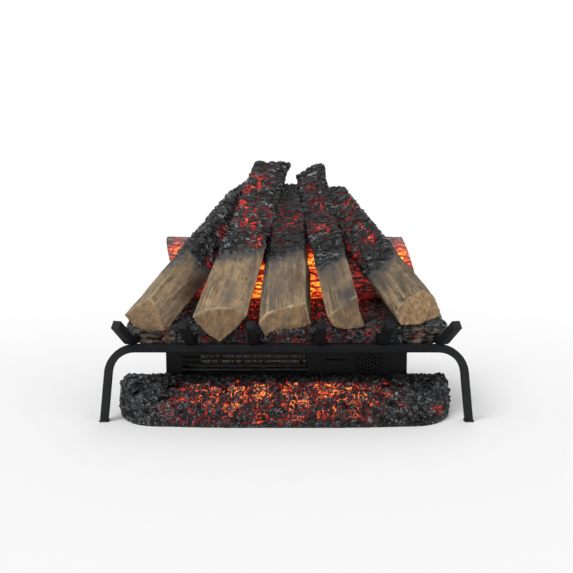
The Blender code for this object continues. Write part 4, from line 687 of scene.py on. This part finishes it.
def wood_colour(graph, fibre):
    """Wood below the char, with its soot, darkened spots, painted shade with a red ember cast on some
    facets, and painted highlights along its sharp ridges.
    """
    settings = look("log_look")
    place = graph.grain()
    wood = graph.mix(graph.on_mesh("sawn"), split_wood(graph, fibre), sawn_wood(graph))
    smudge = graph.fade(graph.noise(place, 58.0, 4.0, 0.6, stretch=(1.0, 1.0, 0.6)), 0.46, 0.72)
    smudge = graph.times(smudge, graph.on_mesh("soot"))
    # Soot smudges, and the listed spots darkened to the scorch colour
    wood = graph.mix(graph.most(smudge, graph.on_mesh("darkening")), wood, settings.scorch)
    # Painted shade with a red ember cast on the listed facets
    wood = graph.mix(graph.on_mesh("singe"), wood, settings.singe)
    # Painted highlight along the sharp ridges, broken into patches
    highlight_patches = graph.times(graph.fade(graph.noise(place, 40.0, 3.0, 0.6), 0.36, 0.60), 0.85)
    wood = graph.mix(graph.times(graph.on_mesh("edge"), highlight_patches), wood, settings.wood_worn)
    return graph.scaled(wood, graph.on_mesh("tone"))


def log_material():
    settings = look("log_look")
    material, graph = new_material("charred_wood")
    place = graph.grain()
    fibre = graph.noise(place, 420.0, 4.0, 0.65, stretch=(1.0, 1.0, 0.06))
    ragged = graph.times(graph.minus(graph.noise(place, 95.0, 5.0, 0.7), 0.5), 1.3)
    burnt = graph.plus(graph.on_mesh("char"), ragged)
    plate, crest, rise = coal_fields(graph, settings.plate_width, settings.plate_height)
    facet = crumbs(graph)
    darkening = graph.times(graph.fade(burnt, -0.25, 0.30), 0.55)
    brown = graph.mix(darkening, wood_colour(graph, fibre), settings.scorch)
    brown = graph.mix(graph.fade(burnt, 0.20, 0.55), brown, settings.scorch)
    black = graph.fade(burnt, 0.48, 0.68)
    warmth = graph.times(graph.on_mesh("warmth"), black)
    heights = {0: black, 2: graph.times(fibre, 0.0008), 3: coal_bump(graph, rise, facet)}
    height = graph.add("ShaderNodeMix", heights, 0, data_type="FLOAT")
    graph.feed(graph.shader, {
        "Base Color": graph.mix(black, brown, coal_colour(graph, plate, crest, facet)),
        "Roughness": graph.minus(0.86, graph.times(black, 0.50)),
        "Emission Color": ember_light(graph, plate, warmth, 0.36, 0.62),
        "Emission Strength": settings.glow,
        "Normal": graph.bump(height, 1.0, 0.9),
        "Specular IOR Level": 0.28,
    })
    return material


def dress_log(node, number, material):
    settings = look("log_look")
    value = {name: values[number] for name, values in LOG_VALUES.items()}
    line_x, line_z = np.array(SCORCH_LINES[number]).T
    piece = welded_copy(node, "carved_" + node)
    middle, across, into, along = log_axis(points_of(piece))
    foot_middle, foot_normal = foot_plane(piece, along)
    ridges = sharp_edges(piece, RIDGE_ANGLE)
    ridges = ridges[ridges[:, :, 2].max(axis=1) < RIDGE_TOP]
    remesh(piece, settings.voxel)
    apply_modifier(piece, "SMOOTH", factor=0.5, iterations=7)
    points = points_of(piece)
    bark = points[:, 2] > np.interp(points[:, 0], line_x, line_z)
    modify_part(piece, bark, "SMOOTH", factor=0.5, iterations=12)
    points = points_of(piece)
    above = points[:, 2] - np.interp(points[:, 0], line_x, line_z)
    spots = {name: strength_at(points, each[number]) for name, each in LOG_SPOTS.items()}
    away = points - middle
    front = smooth_step(-normals_of(piece)[:, 1], -0.5, 0.2)
    depth = (foot_middle - points) @ foot_normal
    facing = normals_of(piece) @ foot_normal
    sawn = (1.0 - smooth_step(depth, 0.0008, 0.0026)) * smooth_step(facing, 0.55, 0.8)
    lift = smooth_step(points[:, 2], 0.28, points[:, 2].max()) * value["tip_lift"]
    store(
        piece,
        grain=np.stack((away @ across, away @ into, away @ along), axis=1) + GRAIN_STEP * number,
        char=np.clip(above / settings.scorch_length + 0.5, 0.0, 1.0),
        warmth=spots["heat"] * (0.35 + 0.65 * front),
        sawn=sawn,
        tone=value["tone"] + (value["end_tone"] - value["tone"]) * sawn,
        # Painted highlight along the sharp ridges below the char
        edge=np.exp(-(distance_to_edges(points, ridges) / 0.0022) ** 2) * value["ridge_highlight"],
        shift=lift[:, None] * along,
        # One of these scales the painted glints and the grey dusting on the char
        **{name: value[name] for name in ("splits", "soot", "dusty", "streaks")},
        **{name: spots[name] for name in ("darkening", "singe", "swell")})
    carve(piece, log_height)
    stand_for(piece, node, material)


class LOGSET_OT_standing_logs(bpy.types.Operator):
    """Carve the five standing logs: split wood below, charred and glowing bark above"""
    bl_idname = "logset.standing_logs"
    bl_label = "Standing Logs"

    def execute(self, context):
        material = log_material()
        for number, node in enumerate(LOGS):
            dress_log(node, number, material)
        return {"FINISHED"}


# Rear log

REAR_HEAT = (
    (-0.048, 0.205, 0.034, 1.0), (0.052, 0.205, 0.036, 1.0), (0.048, 0.250, 0.022, 0.95),
    (-0.044, 0.240, 0.022, 0.75), (-0.135, 0.205, 0.030, 0.34), (0.122, 0.215, 0.045, 0.23),
    (-0.187, 0.262, 0.022, 0.95), (0.195, 0.256, 0.026, 0.95), (0.212, 0.230, 0.020, 0.5),
    (-0.200, 0.225, 0.02, 0.5),
)
REAR_PLATE = (0.0160, 0.0080)
REAR_CRUST = (0.0500, 0.0520)
REAR_WALL = 0.0045
REAR_END = 0.040


def rear_end(graph, radius):
    """Sawn ends of the rear log: rings, checks and a dark crust."""
    logs = look("log_look")
    place = graph.grain()
    wobble = graph.times(graph.noise(graph.on_object(), 70.0, 3.0), 0.010)
    rings = graph.math("SINE", graph.times(graph.plus(radius, wobble), 1900.0))
    rings = graph.plus(graph.times(rings, 0.22), graph.noise(place, 420.0, 3.0, 0.65))
    end = graph.mix(graph.fade(rings, 0.30, 0.72), logs.wood_dark, logs.end_grain)
    check = graph.crossing(graph.noise(place, 120.0, stretch=(1.0, 0.10, 0.6)), 0.022, 0.006)
    check = graph.times(check, graph.fade(radius, 0.010, 0.022), 0.8)
    crust = graph.fade(radius, *REAR_CRUST)
    return graph.mix(graph.most(check, crust), end, logs.scorch)


def rear_material():
    settings = look("rear_log_look")
    material, graph = new_material("glowing_bark")
    place = graph.grain()
    plate, crest, _ = coal_fields(graph, *REAR_PLATE)
    bark = graph.noise(place, 260.0, 3.0, 0.6, stretch=(0.25, 1.0, 1.0))
    tone = graph.mix(graph.fade(bark, 0.40, 0.66), settings.bark_dark, settings.bark)
    furrow = graph.crossing(graph.noise(place, 95.0, 3.0, 0.55, stretch=(0.16, 0.5, 1.0)), 0.050, 0.012)
    tone = graph.mix(graph.times(furrow, 0.80), tone, settings.furrow)
    tone = graph.mix(graph.math("MINIMUM", graph.on_mesh("warmth"), 1.0), tone, settings.lit_bark)
    tone = graph.mix(graph.on_mesh("sawn"), tone, rear_end(graph, graph.parts(place)[1]))
    mark = graph.fade(graph.noise(place, 170.0, 3.0, 0.55, stretch=(0.45, 1.0, 1.3)), 0.43, 0.60)
    light = graph.times(graph.on_mesh("warmth"), graph.blend(plate, 0.70), graph.blend(mark, 0.72))
    glow = graph.ramp(light, (
        (0.05, (0.0, 0.0, 0.0)), (0.20, look("ember_look").ember_dark), (0.42, settings.glow_middle),
        (0.68, settings.glow_warm), (0.95, settings.glow_hot)))
    height = graph.minus(graph.plus(bark, crest), furrow)
    graph.feed(graph.shader, {
        "Base Color": tone,
        "Roughness": 0.55,
        "Emission Color": glow,
        "Emission Strength": settings.glow,
        "Normal": graph.bump(height, 0.0010, 0.9),
    })
    return material


class LOGSET_OT_rear_log(bpy.types.Operator):
    """Carve the translucent log that lies across the back and glows from within"""
    bl_idname = "logset.rear_log"
    bl_label = "Rear Log"

    def execute(self, context):
        settings = look("rear_log_look")
        low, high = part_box("rear_log")
        centre = (low + high) / 2
        radius = (high.z - low.z) / 2
        piece = welded_copy("rear_log", "glowing_rear_log")
        remesh(piece, settings.voxel)
        points = points_of(piece)
        inner = np.hypot(points[:, 1] - centre.y, points[:, 2] - centre.z) < radius - REAR_WALL
        ends = np.abs(points[:, 0] - centre.x) > (high.x - low.x) / 2 - REAR_END
        thin_out(piece, inner & ~ends)
        points = points_of(piece)
        away_y = points[:, 1] - centre.y
        away_z = points[:, 2] - centre.z
        out = np.hypot(away_y, away_z)
        normals = normals_of(piece)
        facing = (normals[:, 1] * away_y + normals[:, 2] * away_z) / out
        sideways = np.abs(normals[:, 0])
        rim = smooth_step(np.minimum(points[:, 0] - low.x, high.x - points[:, 0]), 0.002, 0.007)
        front = smooth_step(-away_y / radius, -0.6, 0.0)
        dim = 1.0 - 0.75 * smooth_step(sideways, 0.5, 0.85)
        store(
            piece,
            grain=np.stack((points[:, 0], out, np.arctan2(away_z, -away_y) * radius), axis=1),
            outside=smooth_step(facing, 0.5, 0.8),
            inside=smooth_step(-facing, 0.3, 0.8),
            sawn=smooth_step(sideways, 0.6, 0.85),
            warmth=strength_at(points, REAR_HEAT) * rim * front * dim)
        carve(piece, coal_relief(REAR_PLATE, 0.6, 0.0020))
        stand_for(piece, "rear_log", rear_material())
        return {"FINISHED"}


# Ember bed and mat

BED_HEAT = (
    (-0.200, 0.143, 0.012, 0.70), (-0.130, 0.140, 0.014, 0.55), (-0.075, 0.144, 0.016, 0.60),
    (0.000, 0.140, 0.020, 0.50), (0.032, 0.139, 0.014, 0.50), (0.068, 0.147, 0.017, 0.70),
    (0.101, 0.148, 0.018, 0.55), (0.136, 0.147, 0.017, 0.60), (0.215, 0.143, 0.011, 0.60),
)
BED_BARK = (
    (-0.212, 0.132, 0.034, 1.0), (-0.165, 0.132, 0.018, 0.8), (-0.105, 0.130, 0.016, 0.6),
    (0.220, 0.130, 0.036, 1.0), (0.020, 0.130, 0.016, 0.5),
)
MAT_HEAT = (
    (0.122, 0.049, 0.026, 1.30), (0.009, 0.049, 0.026, 1.20), (-0.082, 0.046, 0.030, 1.20),
    (-0.040, 0.049, 0.026, 1.20), (0.063, 0.046, 0.030, 1.20), (-0.090, 0.020, 0.014, 0.75),
    (0.020, 0.024, 0.022, 0.70), (0.052, 0.018, 0.016, 0.70), (0.104, 0.024, 0.018, 0.70),
    (-0.141, 0.050, 0.022, 0.90), (-0.157, 0.040, 0.024, 0.60), (0.161, 0.050, 0.014, 0.65),
    (-0.045, 0.022, 0.024, 0.70), (-0.185, 0.024, 0.020, 0.45), (-0.150, 0.012, 0.018, 0.65),
    (0.247, 0.022, 0.012, 0.45), (0.185, 0.030, 0.020, 0.32),
)
INNER_PUSH = 0.0030


def unburnt_bark(graph, shade):
    """Patches of tan bark over the coals."""
    settings = look("ember_look")
    place = graph.grain()
    streak = graph.noise(place, 260.0, 3.0, 0.6, stretch=(0.25, 1.0, 1.0))
    bark = graph.mix(graph.fade(streak, 0.44, 0.60), settings.char, settings.tan_bark)
    cover = graph.plus(graph.on_mesh("bark"), graph.minus(graph.noise(place, 110.0, 3.0), 0.5))
    return graph.mix(graph.fade(cover, 0.45, 0.62), shade, bark)


def ember_material(name, fields, patches, with_bark):
    """Coals with light between them; patches is what ember_light takes."""
    material, graph = new_material(name)
    plate, crest, rise = coal_fields(graph, *fields)
    facet = crumbs(graph)
    shade = coal_colour(graph, plate, crest, facet)
    gloss = graph.fade(graph.noise(graph.grain(), 300.0), 0.35, 0.65)
    graph.feed(graph.shader, {
        "Base Color": unburnt_bark(graph, shade) if with_bark else shade,
        "Roughness": graph.plus(graph.times(gloss, 0.20), 0.30),
        "Emission Color": ember_light(graph, plate, graph.on_mesh("warmth"), *patches),
        "Emission Strength": look("ember_look").glow,
        "Normal": graph.bump(coal_bump(graph, rise, facet), 1.0, 0.9),
        "Specular IOR Level": 0.28,
    })
    return material


class LOGSET_OT_ember_bed(bpy.types.Operator):
    """Carve the moulded ember bed under the logs"""
    bl_idname = "logset.ember_bed"
    bl_label = "Ember Bed"

    def execute(self, context):
        settings = look("ember_look")
        fields = (settings.bed_coal, settings.bed_coal, 0.30, 0.0030)
        low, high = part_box("ember_bed")
        piece = welded_copy("ember_bed", "glowing_ember_bed")
        remesh(piece, settings.bed_voxel)
        thin_out(piece, (normals_of(piece)[:, 2] < -0.3) & (points_of(piece)[:, 2] > low.z + 0.003))
        points = points_of(piece)
        x, y, z = points.T
        facing = normals_of(piece)
        up = np.maximum(smooth_step(facing[:, 2], -0.1, 0.3), smooth_step(-facing[:, 1], 0.5, 0.8))
        foot = smooth_step(z - low.z, 0.001, 0.005)
        middle = 1.0 - smooth_step(np.abs(x), 0.10, 0.22)
        depth = smooth_step(y, low.y + 0.02, low.y + 0.06)
        heat = np.maximum(strength_at(points, BED_HEAT) * (1.0 - depth), 0.60 * middle * depth)
        behind = smooth_step(y, high.y - 0.070, high.y - 0.015)
        lip = 1.0 - smooth_step(y, low.y + 0.008, low.y + 0.020)
        lip = lip * (1.0 - smooth_step(z, low.z + 0.001, low.z + 0.006))
        store(
            piece,
            grain=points,
            outside=up * foot,
            inside=smooth_step(-facing[:, 2], 0.2, 0.6) * foot,
            warmth=heat * up * (1.0 - 0.88 * behind),
            bark=strength_at(points, BED_BARK) * (1.0 - depth),
            # Painted glints and grey dusting at their plain strength
            dusty=1.0,
            shift=lip[:, None] * np.array((0.0, 0.0, -0.0016)))
        carve(piece, coal_relief(fields, 1.0, INNER_PUSH))
        material = ember_material("bed_embers", fields, (0.36, 0.64), True)
        stand_for(piece, "ember_bed", material)
        return {"FINISHED"}


class LOGSET_OT_ember_mat(bpy.types.Operator):
    """Carve the ember mat that lies on the floor before the box"""
    bl_idname = "logset.ember_mat"
    bl_label = "Ember Mat"

    def execute(self, context):
        settings = look("ember_look")
        fields = (settings.mat_coal, settings.mat_coal, 0.42, 0.0034, 0.115)
        low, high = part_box("mat_shell")
        middle_x = (low.x + high.x) / 2
        back = high.y - 0.002
        piece = welded_copy("mat_shell", "glowing_ember_mat")
        remesh(piece, settings.voxel)
        points = points_of(piece)
        facing = normals_of(piece)
        sunk = (facing[:, 2] < -0.2) | (facing[:, 1] > 0.5) & (points[:, 1] < back)
        thin_out(piece, sunk & (points[:, 2] > low.z + 0.003))
        points = points_of(piece)
        facing = normals_of(piece)
        x, y, z = points.T

        # The outside: all that faces up, forwards or sideways, and the crest
        side = (x - middle_x) * facing[:, 0] / (high.x - middle_x)
        out = smooth_step(side + np.clip(facing[:, 2], 0, 1) - facing[:, 1], 0.05, 0.4)
        out = np.maximum(out, smooth_step(z, high.z - 0.010, high.z - 0.004) * (facing[:, 2] > -0.1))
        rim = smooth_step(z, 0.0025, 0.0075)

        # Light: hot spots over a glow in the middle that grows towards the crest
        middle = 1.0 - smooth_step(np.abs(x + 0.008), 0.120, 0.170)
        base = 0.50 + 0.75 * smooth_step(z, 0.018, 0.042)
        heat = np.maximum(strength_at(points, MAT_HEAT) * 1.80, base * middle)
        heat = heat * rim * out * (1.0 - smooth_step(z, 0.0515, 0.0555))
        # More painted glints and grey dusting at the ends and along the crest
        extra_glint_and_dust = np.maximum(smooth_step(np.abs(x), 0.13, 0.20), smooth_step(z, 0.047, 0.053))

        # Shift: the crest's ends lifted, and the front corners pushed out and tucked in below
        lift = 0.0015 + 0.0030 * smooth_step(np.abs(x), 0.17, 0.21)
        lift = lift * smooth_step(z, high.z - 0.030, high.z - 0.004)
        lift = lift * smooth_step(y, high.y - 0.060, high.y - 0.010)
        corner = smooth_step(np.abs(x - middle_x) / (high.x - middle_x), 0.60, 0.90)
        corner = corner * (1.0 - smooth_step(y, low.y + 0.030, low.y + 0.090))
        under = 1.0 - smooth_step(z, 0.002, 0.030)
        tuck = -np.sign(x - middle_x) * 0.006 * under * corner
        store(
            piece,
            grain=points,
            outside=out * rim,
            inside=(1.0 - out) * (y < back) * rim,
            warmth=heat,
            dusty=1.3 + 1.3 * extra_glint_and_dust,
            shift=np.stack((tuck, -0.014 * corner, lift), axis=1))
        carve(piece, coal_relief(fields, 1.0, INNER_PUSH))
        material = ember_material("mat_embers", fields, (0.40, 0.58, (0.45, 1.0, 1.1), 0.80), False)
        stand_for(piece, "mat_shell", material)
        return {"FINISHED"}


# Paint

def painted(name, shade, roughness, grain, depth, metallic=0.0, specular=0.5, spread=0.35, dust=None):
    """Paint, plastic or bare metal with uneven tone and a fine surface grain. The last value gives the two
    distances from the middle between which a painted sheen, a little paler, sets in."""
    material, graph = new_material(name)
    place = graph.on_object()
    uneven = graph.noise(place, 38.0, 4.0, 0.6)
    fine = graph.noise(place, grain, 2.0, 0.6)
    tone = graph.plus(graph.times(uneven, 0.6), graph.times(fine, 0.4))
    dark = tuple(part * (1.0 - spread) for part in shade)
    light = tuple(min(part * (1.0 + spread), 1.0) for part in shade)
    coat = graph.mix(graph.fade(tone, 0.32, 0.68), dark, light)
    # Painted sheen, paler the further out from the middle
    if dust:
        away = graph.math("ABSOLUTE", graph.vector("DOT_PRODUCT", place, (1.0, 0.0, 0.0)))
        coat = graph.mix(graph.times(graph.fade(away, *dust), 0.026), coat, look("steel_look").dust)
    graph.feed(graph.shader, {
        "Base Color": coat,
        "Roughness": graph.plus(graph.times(uneven, 0.16), roughness - 0.08),
        "Metallic": metallic,
        "Specular IOR Level": specular,
        "Normal": graph.bump(fine, depth, 0.6),
    })
    return material


def paint(material, *names):
    """Paint solids that are shown as they are."""
    for name in names:
        nodes[name].data.materials.clear()
        nodes[name].data.materials.append(material)


def paint_all(table):
    """Paint solids by a table of names, what painted takes, and solids."""
    for name, shade, roughness, grain, depth, others, names in table:
        paint(painted(name, shade, roughness, grain, depth, **others), *names)


# Grate

def eased_copy(node, name, radius, material, segments=2):
    """A copy of a solid with its sharp edges rounded."""
    piece = welded_copy(node, name)
    apply_modifier(piece, "BEVEL", width=radius, segments=segments, limit_method="ANGLE",
                   angle_limit=math.radians(30), use_clamp_overlap=True)
    select_only(piece)
    bpy.ops.object.shade_smooth_by_angle(angle=math.radians(32))
    stand_for(piece, node, material)


class LOGSET_OT_grate(bpy.types.Operator):
    """Round and powder-coat the rail, legs and bars"""
    bl_idname = "logset.grate"
    bl_label = "Grate"

    def execute(self, context):
        settings = look("steel_look")
        radius = settings.edge_radius
        # Painted sheen on the legs and the rail's ends
        coat = painted(
            "grate_powder_coat", settings.grate, 0.55, 1400.0, 0.00012, specular=0.13, dust=(0.23, 0.28))
        eased_copy("grate_front_rail", "rounded_front_rail", radius, coat, 3)
        for node, name in zip(numbered("grate_bar_", 6), numbered("rounded_bar_", 6)):
            eased_copy(node, name, radius, coat, 3)
        eased_copy("grate_rear_rail", "rounded_rear_rail", radius / 2, coat)
        cap = painted("leg_cap_plastic", settings.grate, 0.6, 900.0, 0.0001, specular=0.3)
        for side in ("left", "right"):
            eased_copy("leg_foot_" + side, "leg_cap_" + side, radius / 2, cap)
        return {"FINISHED"}


# Heater box

LIP_HEIGHT = 0.0660
LIP_MIDDLE = -0.0715


def box_paint(name):
    return painted(name, look("steel_look").sheet, 0.50, 1100.0, 0.0001, specular=0.18)


def front_paint():
    """Box paint with a painted highlight: a pale line along the lip of the lowest outlet slot."""
    material = box_paint("front_paint")
    graph = Graph(material.node_tree)
    place = graph.on_object()
    across, _, height = graph.parts(place)
    lip = graph.fade(graph.math("ABSOLUTE", graph.minus(height, LIP_HEIGHT)), 0.0013, 0.0003)
    side = graph.fade(graph.math("ABSOLUTE", graph.plus(across, -LIP_MIDDLE)), 0.109, 0.104)
    # Painted highlight along the lip, broken into patches
    painted_highlight = graph.times(lip, side, graph.fade(graph.noise(place, 60.0, 3.0), 0.30, 0.55))
    coat = graph.shader.inputs["Base Color"].links[0].from_socket
    graph.feed(graph.shader, {"Base Color": graph.mix(painted_highlight, coat, look("steel_look").worn_lip)})
    return material


class LOGSET_OT_heater_box(bpy.types.Operator):
    """Paint the heater box's sheets, door, buttons and back"""
    bl_idname = "logset.heater_box"
    bl_label = "Heater Box"

    def execute(self, context):
        settings = look("steel_look")
        paint(box_paint("box_paint"), "housing_top", "rear_panel", "housing_chassis", "control_door")
        paint(front_paint(), "front_panel")
        paint(painted("black_plastic", settings.plastic, 0.55, 1600.0, 0.0001),
              "control_tray", "rocker_frame", "power_rocker", "mat_socket", "mat_plug", "mat_base",
              "flicker_bearing")
        paint(painted("button_plastic", settings.button, 0.50, 1600.0, 0.0001),
              "button_power", "button_flame", "button_heat")
        paint_all((
            ("rubber", (0.010, 0.010, 0.010), 0.85, 700.0, 0.0001, {},
             ("cord_gland", "blower_bearing", *numbered("rubber_foot_", 4))),
            ("zinc_screw", (0.45, 0.46, 0.47), 0.35, 900.0, 0.00005, {"metallic": 1.0},
             ("door_pin", *numbered("rear_screw_", 4))),
        ))
        return {"FINISHED"}


# Works inside the box

BOARD = (0.012, 0.085, 0.030)
BOARD_TRACK = (0.05, 0.20, 0.07)
FIN = (0.85, 0.83, 0.74)
# Near-black fins: painted shade inside the box
FIN_SHADE = (0.030, 0.030, 0.028)
# Material, colour, roughness, grain and its depth, other values, solids
WORKS = (
    ("zinc_sheet", (0.42, 0.43, 0.44), 0.42, 160.0, 0.00008, {"metallic": 1.0, "spread": 0.2},
     ("blower_motor", "flicker_motor")),
    ("duct_paint", (0.020, 0.020, 0.020), 0.55, 300.0, 0.0001, {"specular": 0.2}, ("air_duct",)),
    ("wheel_aluminium", (0.60, 0.60, 0.58), 0.40, 900.0, 0.00005, {"metallic": 1.0, "spread": 0.2},
     ("blower_wheel",)),
    ("ceramic", (0.30, 0.29, 0.27), 0.65, 600.0, 0.00008, {}, ("thermal_cutout",)),
    ("dark_ceramic", (0.016, 0.015, 0.014), 0.65, 600.0, 0.00008, {"specular": 0.2}, ("element_frame",)),
    ("foil", (0.80, 0.77, 0.70), 0.22, 240.0, 0.0002, {"metallic": 1.0, "spread": 0.1}, ("flicker_rotor",)),
    ("paper_cone", (0.006, 0.006, 0.006), 0.9, 500.0, 0.0002, {"specular": 0.1}, ("speaker_cone",)),
    ("ferrite", (0.008, 0.008, 0.008), 0.7, 700.0, 0.0001, {"specular": 0.15},
     ("speaker_magnet", "speaker_basket")),
)

def board_material():
    """Green circuit board with paler tracks."""
    material, graph = new_material("circuit_board")
    scaled = graph.scaled(graph.on_object(), (420.0, 420.0, 420.0))
    plain = graph.fade(graph.cells(scaled, 0, "DISTANCE_TO_EDGE"), 0.05, 0.11)
    graph.feed(graph.shader, {
        "Base Color": graph.mix(plain, BOARD_TRACK, BOARD),
        "Roughness": 0.38,
        "Normal": graph.bump(plain, 0.00006, 0.7),
    })
    return material


def fin_material():
    """Thin aluminium fins, as pale ticks among near-black ones painted as shade inside the box."""
    material, graph = new_material("fin_aluminium")
    tick = graph.noise(graph.on_object(), 380.0, 1.0, stretch=(1.0, 0.05, 0.12))
    graph.feed(graph.shader, {
        "Base Color": graph.mix(graph.fade(tick, 0.40, 0.54), FIN_SHADE, FIN),
        "Roughness": graph.plus(graph.times(tick, 0.2), 0.35),
        "Metallic": 0.2,
        "Normal": graph.bump(tick, 0.00005, 0.5),
    })
    return material


class LOGSET_OT_inner_works(bpy.types.Operator):
    """Give the blower, heater, speaker, boards and flicker spindle their metals, ceramics and boards"""
    bl_idname = "logset.inner_works"
    bl_label = "Inner Works"

    def execute(self, context):
        paint_all(WORKS)
        paint(fin_material(), "heating_element")
        paint(board_material(), "control_board", "power_board", "lamp_board", "mat_lamp_board")
        return {"FINISHED"}


# Stage

def soft_lamp(name, azimuth, elevation, strength):
    """A wide, far lamp; azimuth turns from the front to the right, in degrees."""
    data = bpy.data.lights.new(name, "SUN")
    data.angle = math.radians(34)
    data.energy = strength
    lamp = bpy.data.objects.new(name, data)
    turn = math.radians(azimuth)
    rise = math.radians(elevation)
    way = Vector((math.sin(turn) * math.cos(rise), -math.cos(turn) * math.cos(rise), math.sin(rise)))
    lamp.rotation_euler = (-way).to_track_quat("-Z", "Y").to_euler()
    bpy.context.scene.collection.objects.link(lamp)


def add_floor(settings):
    """A pale floor that turns plain white far from the set."""
    bpy.ops.object.select_all(action="DESELECT")
    bpy.ops.mesh.primitive_plane_add(size=30.0, location=(0.0, 0.0, 0.0))
    floor = bpy.context.object
    floor.name = "studio_floor"
    material, graph = new_material("studio_floor")
    graph.feed(graph.shader, {
        "Base Color": rgba(settings.floor),
        "Roughness": 0.9,
        "Specular IOR Level": 0.0,
    })
    far = graph.fade(graph.vector("LENGTH", graph.on_object()), settings.floor_near, settings.floor_far)
    bright = graph.add("ShaderNodeEmission", {"Color": rgba(WHITE), "Strength": 1.0})
    share = graph.times(graph.off_screen(), far)
    both = graph.add("ShaderNodeMixShader", {0: share, 1: graph.shader.outputs[0], 2: bright})
    graph.tree.links.new(both, graph.tree.nodes["Material Output"].inputs["Surface"])
    floor.data.materials.append(material)


def add_world(scene, settings):
    """Even light from all round, seen as plain white."""
    world = scene.world or bpy.data.worlds.new("studio_world")
    scene.world = world
    world.use_nodes = True
    world.node_tree.nodes.clear()
    sky = Graph(world.node_tree)
    around = sky.add("ShaderNodeBackground", {"Color": rgba(WHITE), "Strength": settings.ambient})
    white = sky.add("ShaderNodeBackground", {"Color": rgba(WHITE), "Strength": 1.0})
    both = sky.add("ShaderNodeMixShader", {0: sky.off_screen(), 1: around, 2: white})
    world.node_tree.links.new(both, world.node_tree.nodes.new("ShaderNodeOutputWorld").inputs["Surface"])


def add_camera(scene, settings):
    data = bpy.data.cameras.new("photo_camera")
    data.sensor_width = 36.0
    data.lens = settings.lens
    data.clip_start = 0.02
    camera = bpy.data.objects.new("photo_camera", data)
    camera.location = (0.0, -settings.distance, settings.height)
    camera.rotation_euler = (settings.tilt, 0.0, 0.0)
    scene.collection.objects.link(camera)
    scene.camera = camera


class LOGSET_OT_stage(bpy.types.Operator):
    """Add the pale floor, the soft lamps and the camera"""
    bl_idname = "logset.stage"
    bl_label = "Stage"

    def execute(self, context):
        settings = look("stage_look")
        add_floor(settings)
        add_world(context.scene, settings)
        soft_lamp("key_lamp", -38.0, 48.0, settings.key)
        soft_lamp("fill_lamp", 52.0, 35.0, settings.fill)
        soft_lamp("back_lamp", 165.0, 50.0, settings.back)
        context.scene.view_settings.view_transform = "Standard"
        add_camera(context.scene, settings)
        return {"FINISHED"}


STEPS = (
    LOGSET_OT_standing_logs,
    LOGSET_OT_rear_log,
    LOGSET_OT_ember_bed,
    LOGSET_OT_ember_mat,
    LOGSET_OT_grate,
    LOGSET_OT_heater_box,
    LOGSET_OT_inner_works,
    LOGSET_OT_stage,
)


class LOGSET_PT_panel(bpy.types.Panel):
    """Settings and steps of the log set"""
    bl_idname = "LOGSET_PT_panel"
    bl_label = "Electric Log Set"
    bl_space_type = "VIEW_3D"
    bl_region_type = "UI"
    bl_category = "Log Set"

    def draw(self, context):
        for name, group in GROUPS.items():
            box = self.layout.box()
            box.label(text=group.__doc__.rstrip("."))
            for setting in group.__annotations__:
                box.prop(getattr(context.scene, name), setting)
        for step in STEPS:
            self.layout.operator(step.bl_idname)


CLASSES = (*GROUPS.values(), *STEPS, LOGSET_PT_panel)


def register():
    for made in CLASSES:
        bpy.utils.register_class(made)
    for name, group in GROUPS.items():
        setattr(bpy.types.Scene, name, bpy.props.PointerProperty(type=group))


def unregister():
    for name in GROUPS:
        delattr(bpy.types.Scene, name)
    for made in reversed(CLASSES):
        bpy.utils.unregister_class(made)


def main():
    """Build the whole set."""
    register()
    bpy.ops.object.select_all(action="DESELECT")
    for step in STEPS:
        group, name = step.bl_idname.split(".")
        getattr(getattr(bpy.ops, group), name)()


if __name__ == "__main__":
    main()
